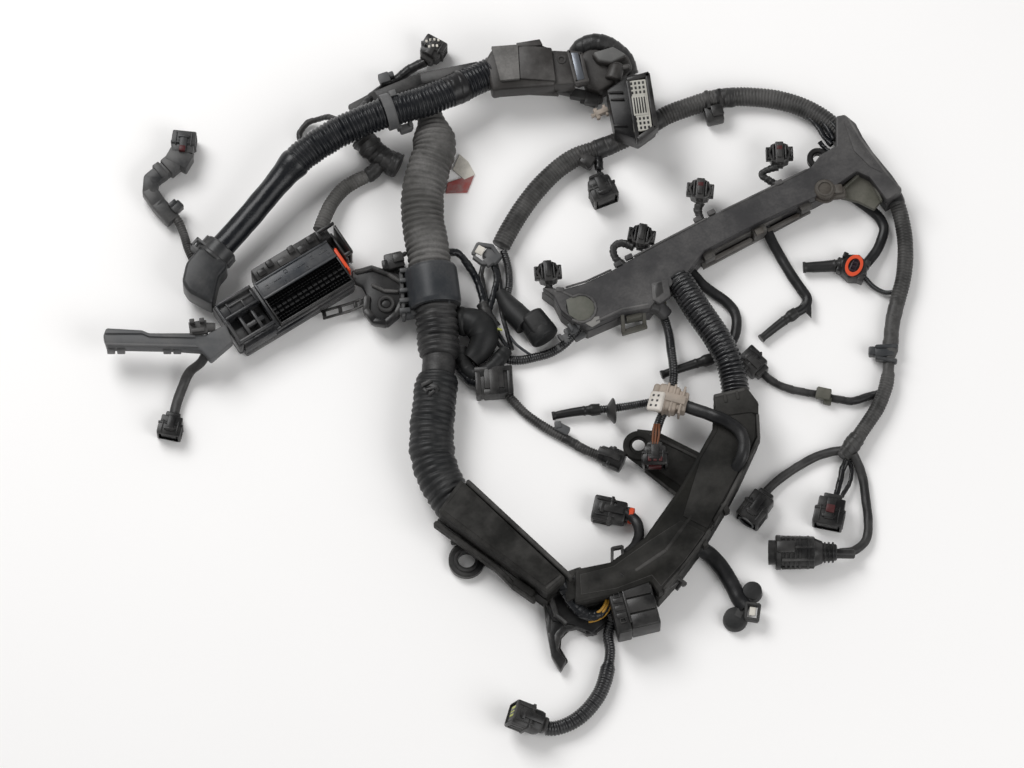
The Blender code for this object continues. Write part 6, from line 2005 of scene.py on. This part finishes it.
class HARNESS_OT_lower_left(bpy.types.Operator):
    """Make the lower left cover's lips, ring lug and hook, and the joint to the trough"""

    bl_idname = "harness.lower_left"
    bl_label = "Lower left cover"

    def execute(self, context):
        top = COVER_TOP
        lips = Shape()
        lips.plate(
            outline_at(((463, 484), (558, 573), (544, 583), (444, 509)), top), top - 1.0, top + 0.8,
            0.8
        )
        lips.strips(((468, 480, top - 3), (570, 574, top - 3)), 5.0, 30.0, 1.2)
        lips.strips(((436, 521, 34), (496, 564, 34), (514, 582, 34), (534, 596, 34)), 5.0, 12.0, 1.2)
        lips.strips(((560, 573, top + 0.8), (546, 585, top + 0.8)), 3.0, 4.0, 0.8)
        lips.block((524, 588, 26), (24.0, 7.0, 22.0), -37.0, 1.2)
        lips.plate(outline_at(((560, 570), (580, 563), (586, 590), (566, 598)), 40), 6.0, 38.0, 2.0)
        lips.show("left_cover_lips", IN_PLACE, "trough_plastic")

        lug = Shape()
        lug.loop((467, 558), 18.0, 9.6, 0.4, 9.5, 40, 1.6)
        lug.loop((467, 558), 12.4, 9.0, 0.4, 12.0, 36, 0.8)
        lug.block((489, 553, 5), (26.0, 22.0, 9.0), -35.0, 1.6)
        lug.strips(((452, 540, 9), (464, 538, 9), (478, 545, 9)), 4.0, 8.0, 1.2)
        lug.show("ring_lug", IN_PLACE, "black_plastic")

        joint = Shape()
        joint.plate(outline_at(((541, 592), (566, 580), (604, 588), (607, 618), (592, 630), (572, 622),
                                (552, 618)), 14), 0.6, 14.0, 1.6)
        joint.strips(((566, 582, 34), (582, 604, 26), (596, 616, 18)), 5.0, 14.0, 1.4)
        joint.strips(((550, 592, 26), (556, 612, 20), (566, 620, 15)), 5.0, 12.0, 1.4)
        joint.block((590, 628, 6), (12.0, 9.0, 10.0), 10.0, 1.5)
        joint.block((574, 593, 24), (14.0, 20.0, 20.0), -40.0, 2.5)
        hook = (
            (543, 600), (566, 604), (576, 621), (563, 625), (556, 634), (556, 646), (566, 656),
            (560, 667), (551, 652), (547, 630)
        )
        joint.plate(outline_at(hook, 12), 1.0, 11.6, 1.8, 2)
        joint.strips(((575, 622, 12), (564, 624, 12), (557, 632, 12), (555, 645, 11), (561, 660, 9)),
                     7.0, 8.0, 1.6, 2)
        joint.strips(((549, 608, 12), (549, 630, 12), (553, 646, 11), (562, 661, 9)), 4.0, 8.0, 1.4, 2)
        joint.show("cover_joint_and_hook", IN_PLACE, "black_plastic")

        bundle = Line(
            13.0,
            (
                (560, 577, 36), (566, 590, 32), (574, 603, 28), (586, 612, 25), (598, 611, 24),
                (610, 602, 24)
            )
        )
        hose(
            "joint_bundle", bundle, wound(12.0, 6.0, 0.6, 0.7, 3.0), "glossy_vinyl", step=0.7,
            sides=24
        )
        second = Line(
            8.0, ((573, 574, 36), (584, 588, 30), (598, 594, 27), (610, 588, 30), (622, 572, 40))
        )
        hose("joint_lead", second, wound(8.4, 7.0, 0.5, 0.4, 5.0), "black_tape", step=0.7, sides=18)
        wires = (
            Line(3.0, ((609, 590, 30), (607, 600, 29), (602, 609, 28), (594, 614, 26), (586, 615, 23))),
            Line(2.8, ((606, 592, 30), (604, 601, 30), (599, 608, 29), (592, 611, 27), (585, 611, 24))),
            Line(2.6, ((611, 594, 28), (609, 604, 28), (604, 612, 26), (596, 617, 24), (588, 619, 21))),
        )
        for number, line in enumerate(wires, 1):
            hose("joint_yellow_wire_%d" % number, line, smooth_skin(line.diameter, 0.05, float(number)),
                 "yellow_wire", step=0.8, sides=12)
        return {"FINISHED"}


class HARNESS_OT_box_connector(bpy.types.Operator):
    """Make the square connector below the trough, its top in three panels"""

    bl_idname = "harness.box_connector"
    bl_label = "Square connector"

    def execute(self, context):
        box = Shape()
        box.box((-8, -24, -17), (21, 22, 11.5), 1.6)
        box.box((-23, -25.5, -17), (-8, 23.5, 13), 2.0, 3)
        for low, high in ((-23.0, -9.6), (-8.0, 6.6), (8.2, 21.0)):
            box.box((-7, low, 10), (19.4, high, 13.8), 0.9)
        box.box((-9, -17.6, 9), (-6.6, 17.6, 14.4), 0.7)
        box.box((18.6, -17.4, -10), (20.9, 17.4, 12.6), 0.8)
        for y in (-13.5, 13.5):
            box.socket((-18, y - 2.4, 12.4), (-12, y + 2.4, 14.4), 0.8, 1.6, 0.0, "z")
        for y in (-8, 0, 8):
            box.box((-20.0, y - 2.6, 12), (-10.0, y + 2.6, 13.8), 0.6)
        box.show("square_connector", at((633, 606, 26), 14.0), "plug_black", ["box_connector"])
        return {"FINISHED"}


class HARNESS_OT_clamps(bpy.types.Operator):
    """Make the two clamps round the trunks and the bracket with its hook loop"""

    bl_idname = "harness.clamps"
    bl_label = "Clamps and bracket"

    def execute(self, context):
        satin = stepped(
            ((172, 1.0), (175, 1.04), (208, 1.04), (212, 1.0)), smooth_skin(51.0, 0.15, 2.0, 30.0)
        )
        hose(
            "trunk_clamp_band", CENTRE_LINE, satin, "satin_clamp", ["trunk_clamp"], 172.0, 212.0,
            1.0, 40
        )
        trim = Shape()
        trim.strips(((446, 270, 44), (449, 304, 44)), 3.0, 6.0, 1.0)
        for y in (272, 282, 292, 302, 312):
            trim.block((405, y, 26), (11.0, 4.6, 14.0), 6.0, 1.0)
        trim.strips(((401, 272, 30), (404, 316, 30)), 4.0, 16.0, 1.0)
        trim.strips(((411, 268, 38), (414, 302, 38)), 3.0, 8.0, 1.0)
        trim.block((412, 314, 22), (14.0, 8.0, 14.0), 10.0, 2.0)
        trim.show("trunk_clamp_hinge", IN_PLACE, "satin_clamp")

        band = stepped(((228, 1.0), (230, 1.06), (238, 1.06), (240, 1.0)), smooth_skin(35.5, 0.1, 3.0))
        hose(
            "conduit_clamp_band", LEFT_LINE, band, "grey_plastic", ["conduit_clamp"], 230.0, 240.0,
            0.8, 36
        )
        foot = Shape()
        foot.block((405, 127, 34), (13.0, 8.0, 10.0), 20.0, 1.6)
        foot.block((398, 124, 36), (5.0, 9.0, 13.0), 20.0, 1.2)
        foot.block((410, 123, 36), (4.0, 8.0, 12.0), 20.0, 1.0)
        foot.block((392, 92, 60), (7.0, 7.0, 5.0), 20.0, 1.4)
        foot.show("conduit_clamp_foot", IN_PLACE, "grey_plastic")

        bracket = Shape()
        solid = (
            (351, 270), (371, 264), (390, 270), (413, 278), (414, 303), (401, 314), (386, 326),
            (371, 322), (363, 309), (367, 297), (362, 286), (351, 281)
        )
        bracket.plate(outline_at(solid, 20), 12.5, 19.5, 2.0, 3)
        bracket.strips(((367, 296, 24), (366, 309, 24), (374, 320, 24), (386, 322, 24), (397, 313, 24),
                        (402, 302, 24)), 7.0, 11.0, 2.0, 2)
        bracket.strips(((355, 271, 23), (372, 267, 23), (388, 273, 23), (402, 282, 23)), 4.5, 6.0, 1.4)
        bracket.strips(((372, 284, 22.5), (384, 290, 22.5), (398, 291, 22.5)), 4.0, 5.0, 1.2)
        bracket.loop((386, 303), 9.0, 5.0, 13.0, 23.5, 28, 1.2)
        bracket.upright((386, 303), 4.6, 13.0, 20.4, None, 20, 0.4)
        bracket.show("clamp_bracket_hook", IN_PLACE, "black_plastic", ["clamp_bracket"])

        strap = Shape()
        strap.strips(((321, 311, 10), (349, 303, 12), (372, 294, 16)), 2.4, 3.0, 0.6)
        strap.strips(((323, 318, 10), (351, 310, 12), (373, 300, 16)), 2.4, 3.0, 0.6)
        for x, y in ((324, 314), (340, 310), (355, 304.5), (361, 302), (367, 299)):
            strap.block((x, y, 12), (4.0, 7.0, 3.0), 10.0, 0.7)
        strap.show("bracket_strap", IN_PLACE, "black_plastic")

        small = Shape()
        small.block((394, 263, 15), (19.0, 17.0, 20.0), 14.0, 2.0)
        small.block((398, 258, 24), (11.0, 9.0, 8.0), 14.0, 1.2)
        small.block((385, 266, 20), (6.0, 10.0, 12.0), 14.0, 1.2)
        small.strips(((398, 256, 27), (406, 252, 24)), 4.0, 5.0, 1.0)
        small.show("bracket_side_plug", IN_PLACE, "black_plastic")
        return {"FINISHED"}


class HARNESS_OT_centre_cluster(bpy.types.Operator):
    """Make the cap, elbow, rubber boot, relay connector and loose wires below the loop's end"""

    bl_idname = "harness.centre_cluster"
    bl_label = "Centre cluster"

    def execute(self, context):
        cap = Line(
            26.0,
            (
                (458, 322, 15), (468, 321, 17), (479, 326, 18), (484, 337, 17), (480, 349, 15),
                (471, 360, 13)
            )
        )
        round_end = (
            (0, 0.95), (3, 1.12), (6, 1.12), (8, 1.0), (20, 1.12), (34, 1.1), (52, 0.9), (70, 0.62)
        )
        hose("elbow_cap", cap, stepped(round_end, smooth_skin(27.0, 0.5, 2.0)), "matt_rubber",
             ["centre_bundle"], step=0.8, sides=32)
        elbow = Line(
            15.0,
            (
                (459, 350, 11), (465, 366, 11), (474, 374, 11.5), (486, 372, 13), (497, 362, 14),
                (506, 350, 12)
            )
        )
        skin = stepped(((0, 1.15), (12, 1.0), (100, 0.95)), wound(15.6, 8.0, 0.5, 0.6, 6.0))
        hose("elbow_bundle", elbow, skin, "matt_rubber", step=0.8, sides=26)
        under = Line(
            10.0, ((450, 346, 8), (455, 360, 8), (464, 374, 9), (476, 382, 10), (486, 378, 10))
        )
        hose(
            "elbow_under_tape", under, wound(11.0, 5.0, 0.8, 1.0, 2.0), "glossy_vinyl", step=0.7,
            sides=20
        )

        neck = Line(17.0, ((500, 292, 9), (508, 304, 11), (517, 315, 13), (526, 324, 14)))
        boot_neck = stepped(((0, 0.72), (14, 1.1), (26, 1.36), (60, 1.6)), smooth_skin(17.0, 0.2, 2.0))
        hose("boot_neck", neck, boot_neck, "matt_rubber", step=0.8, sides=28)
        boot = Shape()
        boot.rod((-17, 0, 0), (2, 0, 0), 13.8, 15.0, 36, 2.0, 3)
        boot.rod((0, 0, 0), (13, 0, 0), 15.4, 15.0, 36, 3.0, 4)
        boot.box((-16, -10, 4), (6, 10, 15.0), 4.0, 4)
        boot.show("boot_body", at((539, 329, 15.5), -56.0), "matt_rubber", ["oval_boot"])
        lead = Line(7.4, ((503, 250, 9), (507, 262, 6), (509, 274, 5), (509, 286, 7), (506, 298, 9)))
        hose(
            "boot_lead_conduit", lead, corrugated(7.8, 2.3, 0.7, 0.15, 6.0), "satin_conduit",
            step=0.5, sides=18
        )

        relay = Shape()
        relay.box((-19, -14, -9), (19, 14, 8), 1.8, 2)
        relay.box((-11, -15.5, -8), (11, -9, 10), 1.2)
        relay.box((-10, -9, 7), (10, 13, 10.5), 1.6, 2)
        for x in (-16.0, 16.0):
            relay.box((x - 2.6, -15.2, -8.4), (x + 2.6, 12, 9.6), 0.9)
        relay.box((-19, 9, 6), (19, 14.6, 10.4), 1.2)
        relay.box((-4.6, -15.9, -7), (4.6, 11, 11.2), 0.8)
        relay.show("relay_connector_body", at((494, 383, 10), 4.0), "plug_black", ["relay_connector"])

        tail = Shape()
        tail.block((563, 345, 9), (15.0, 6.0, 7.0), 38.0, 1.2)
        tail.block((568, 335, 12), (5.0, 13.0, 7.0), 22.0, 1.0)
        tail.block((561, 338, 14), (4.0, 8.0, 6.0), 40.0, 1.0)
        tail.show("tail_clip", IN_PLACE, "grey_plastic")

        clip = Shape()
        clip.strips(((473, 253, 20), (478, 243, 21), (492, 245, 21), (498, 254, 18)), 4.2, 7.0, 1.2, 2)
        clip.strips(((474, 256, 19), (482, 262, 18), (493, 262, 16)), 4.0, 7.0, 1.2, 2)
        clip.block((492, 256, 12), (17.0, 13.0, 12.0), -38.0, 2.0)
        clip.block((488, 262, 14), (9.0, 7.0, 8.0), -50.0, 1.2)
        clip.show("loop_end_clip", IN_PLACE, "grey_plastic")
        pad = Shape()
        pad.block((480, 250, 20), (8.0, 9.0, 3.0), -30.0, 0.9)
        pad.show("loop_end_clip_pad", IN_PLACE, "label_paper")

        loose = (
            (
                "cluster_flat_wires", 8.0, "glossy_vinyl",
                (
                    (448, 252, 22), (458, 253, 17), (466, 262, 13), (475, 276, 11), (481, 292, 11),
                    (484, 308, 12)
                )
            ),
            (
                "cluster_strand_a", 6.0, "black_tape",
                ((484, 262, 12), (481, 274, 10), (484, 290, 10), (487, 306, 11), (489, 320, 12))
            ),
            (
                "cluster_strand_b", 7.0, "glossy_vinyl",
                ((492, 262, 10), (497, 276, 9), (494, 292, 10), (490, 306, 12), (487, 318, 13))
            ),
            (
                "cluster_strand_c", 5.0, "black_tape",
                (
                    (496, 264, 9), (500, 282, 8), (500, 300, 9), (503, 318, 10), (508, 336, 9),
                    (512, 350, 8)
                )
            ),
            (
                "cluster_strand_d", 4.5, "glossy_vinyl",
                ((489, 316, 14), (495, 326, 13), (501, 338, 12), (508, 348, 11))
            ),
            (
                "cluster_strand_e", 4.0, "black_tape",
                ((484, 318, 15), (492, 334, 14), (499, 345, 14), (508, 355, 9))
            ),
            (
                "cluster_taped_knot", 12.0, "dusty_tape",
                ((482, 304, 15), (486, 312, 16), (490, 320, 16), (496, 328, 14))
            ),
            (
                "cluster_glint_wire", 2.2, "yellow_green",
                ((491, 334, 19), (496, 329, 20), (502, 330, 18))
            ),
            (
                "cluster_blue_wire", 3.0, "blue_grey",
                ((508, 334, 9), (516, 344, 8), (526, 352, 7), (534, 356, 6))
            ),
        )
        for number, (name, size, finish, places) in enumerate(loose):
            skin = wound(size, 8.0, 0.06 * size, 0.07 * size, float(number))
            hose(name, Line(size, places), skin, finish, step=0.8, sides=16)
        return {"FINISHED"}


NODE_FINISHES = {
    "rail_base": "rail_plastic", "rail_cover": "rail_plastic", "rail_wires": "black_tape",
    "trough_base": "trough_plastic", "trough_cover": "trough_plastic",
    "left_base": "trough_plastic", "left_cover": "trough_plastic",
}


class HARNESS_OT_cad_finishes(bpy.types.Operator):
    """Give the solids that stay in view their dusty, worn finishes"""

    bl_idname = "harness.cad_finishes"
    bl_label = "Finish the solids"

    def execute(self, context):
        for name, finish in NODE_FINISHES.items():
            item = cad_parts[name]
            item.data.materials.clear()
            item.data.materials.append(FINISHES[finish])
        return {"FINISHED"}


OPERATORS = (
    HARNESS_OT_stage, HARNESS_OT_side_conduit, HARNESS_OT_glow_leads, HARNESS_OT_left_leads,
    HARNESS_OT_right_leads, HARNESS_OT_lower_leads, HARNESS_OT_left_trunk, HARNESS_OT_centre_trunk,
    HARNESS_OT_drop_and_loop, HARNESS_OT_centre_branches, HARNESS_OT_control_connector,
    HARNESS_OT_left_covers, HARNESS_OT_upper_duct, HARNESS_OT_fuse_box, HARNESS_OT_rail_trim,
    HARNESS_OT_injectors, HARNESS_OT_trough_trim, HARNESS_OT_lower_left, HARNESS_OT_box_connector,
    HARNESS_OT_clamps, HARNESS_OT_centre_cluster, HARNESS_OT_wraps_and_clips, HARNESS_OT_cad_finishes,
)
SETTINGS = {"harness_stage": HarnessStage, "harness_trunks": HarnessTrunks}


class VIEW3D_PT_harness(bpy.types.Panel):
    """The harness's steps and settings"""

    bl_label = "Wiring Harness"
    bl_space_type = "VIEW_3D"
    bl_region_type = "UI"
    bl_category = "Harness"

    def draw(self, context):
        for name, kind in SETTINGS.items():
            box = self.layout.box()
            for setting in kind.__annotations__:
                box.prop(getattr(context.scene, name), setting)
        for operator in OPERATORS:
            self.layout.operator(operator.bl_idname)


def register():
    """Add the settings, operators and panel."""
    for kind in (*SETTINGS.values(), *OPERATORS, VIEW3D_PT_harness):
        bpy.utils.register_class(kind)
    for name, kind in SETTINGS.items():
        setattr(bpy.types.Scene, name, bpy.props.PointerProperty(type=kind))


def unregister():
    """Take them away again."""
    for name in SETTINGS:
        delattr(bpy.types.Scene, name)
    for kind in (VIEW3D_PT_harness, *reversed(OPERATORS), *SETTINGS.values()):
        bpy.utils.unregister_class(kind)


def main():
    """Build the harness."""
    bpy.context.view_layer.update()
    register()
    make_finishes()
    for operator in OPERATORS:
        group, name = operator.bl_idname.split(".")
        getattr(getattr(bpy.ops, group), name)()


if __name__ == "__main__":
    main()
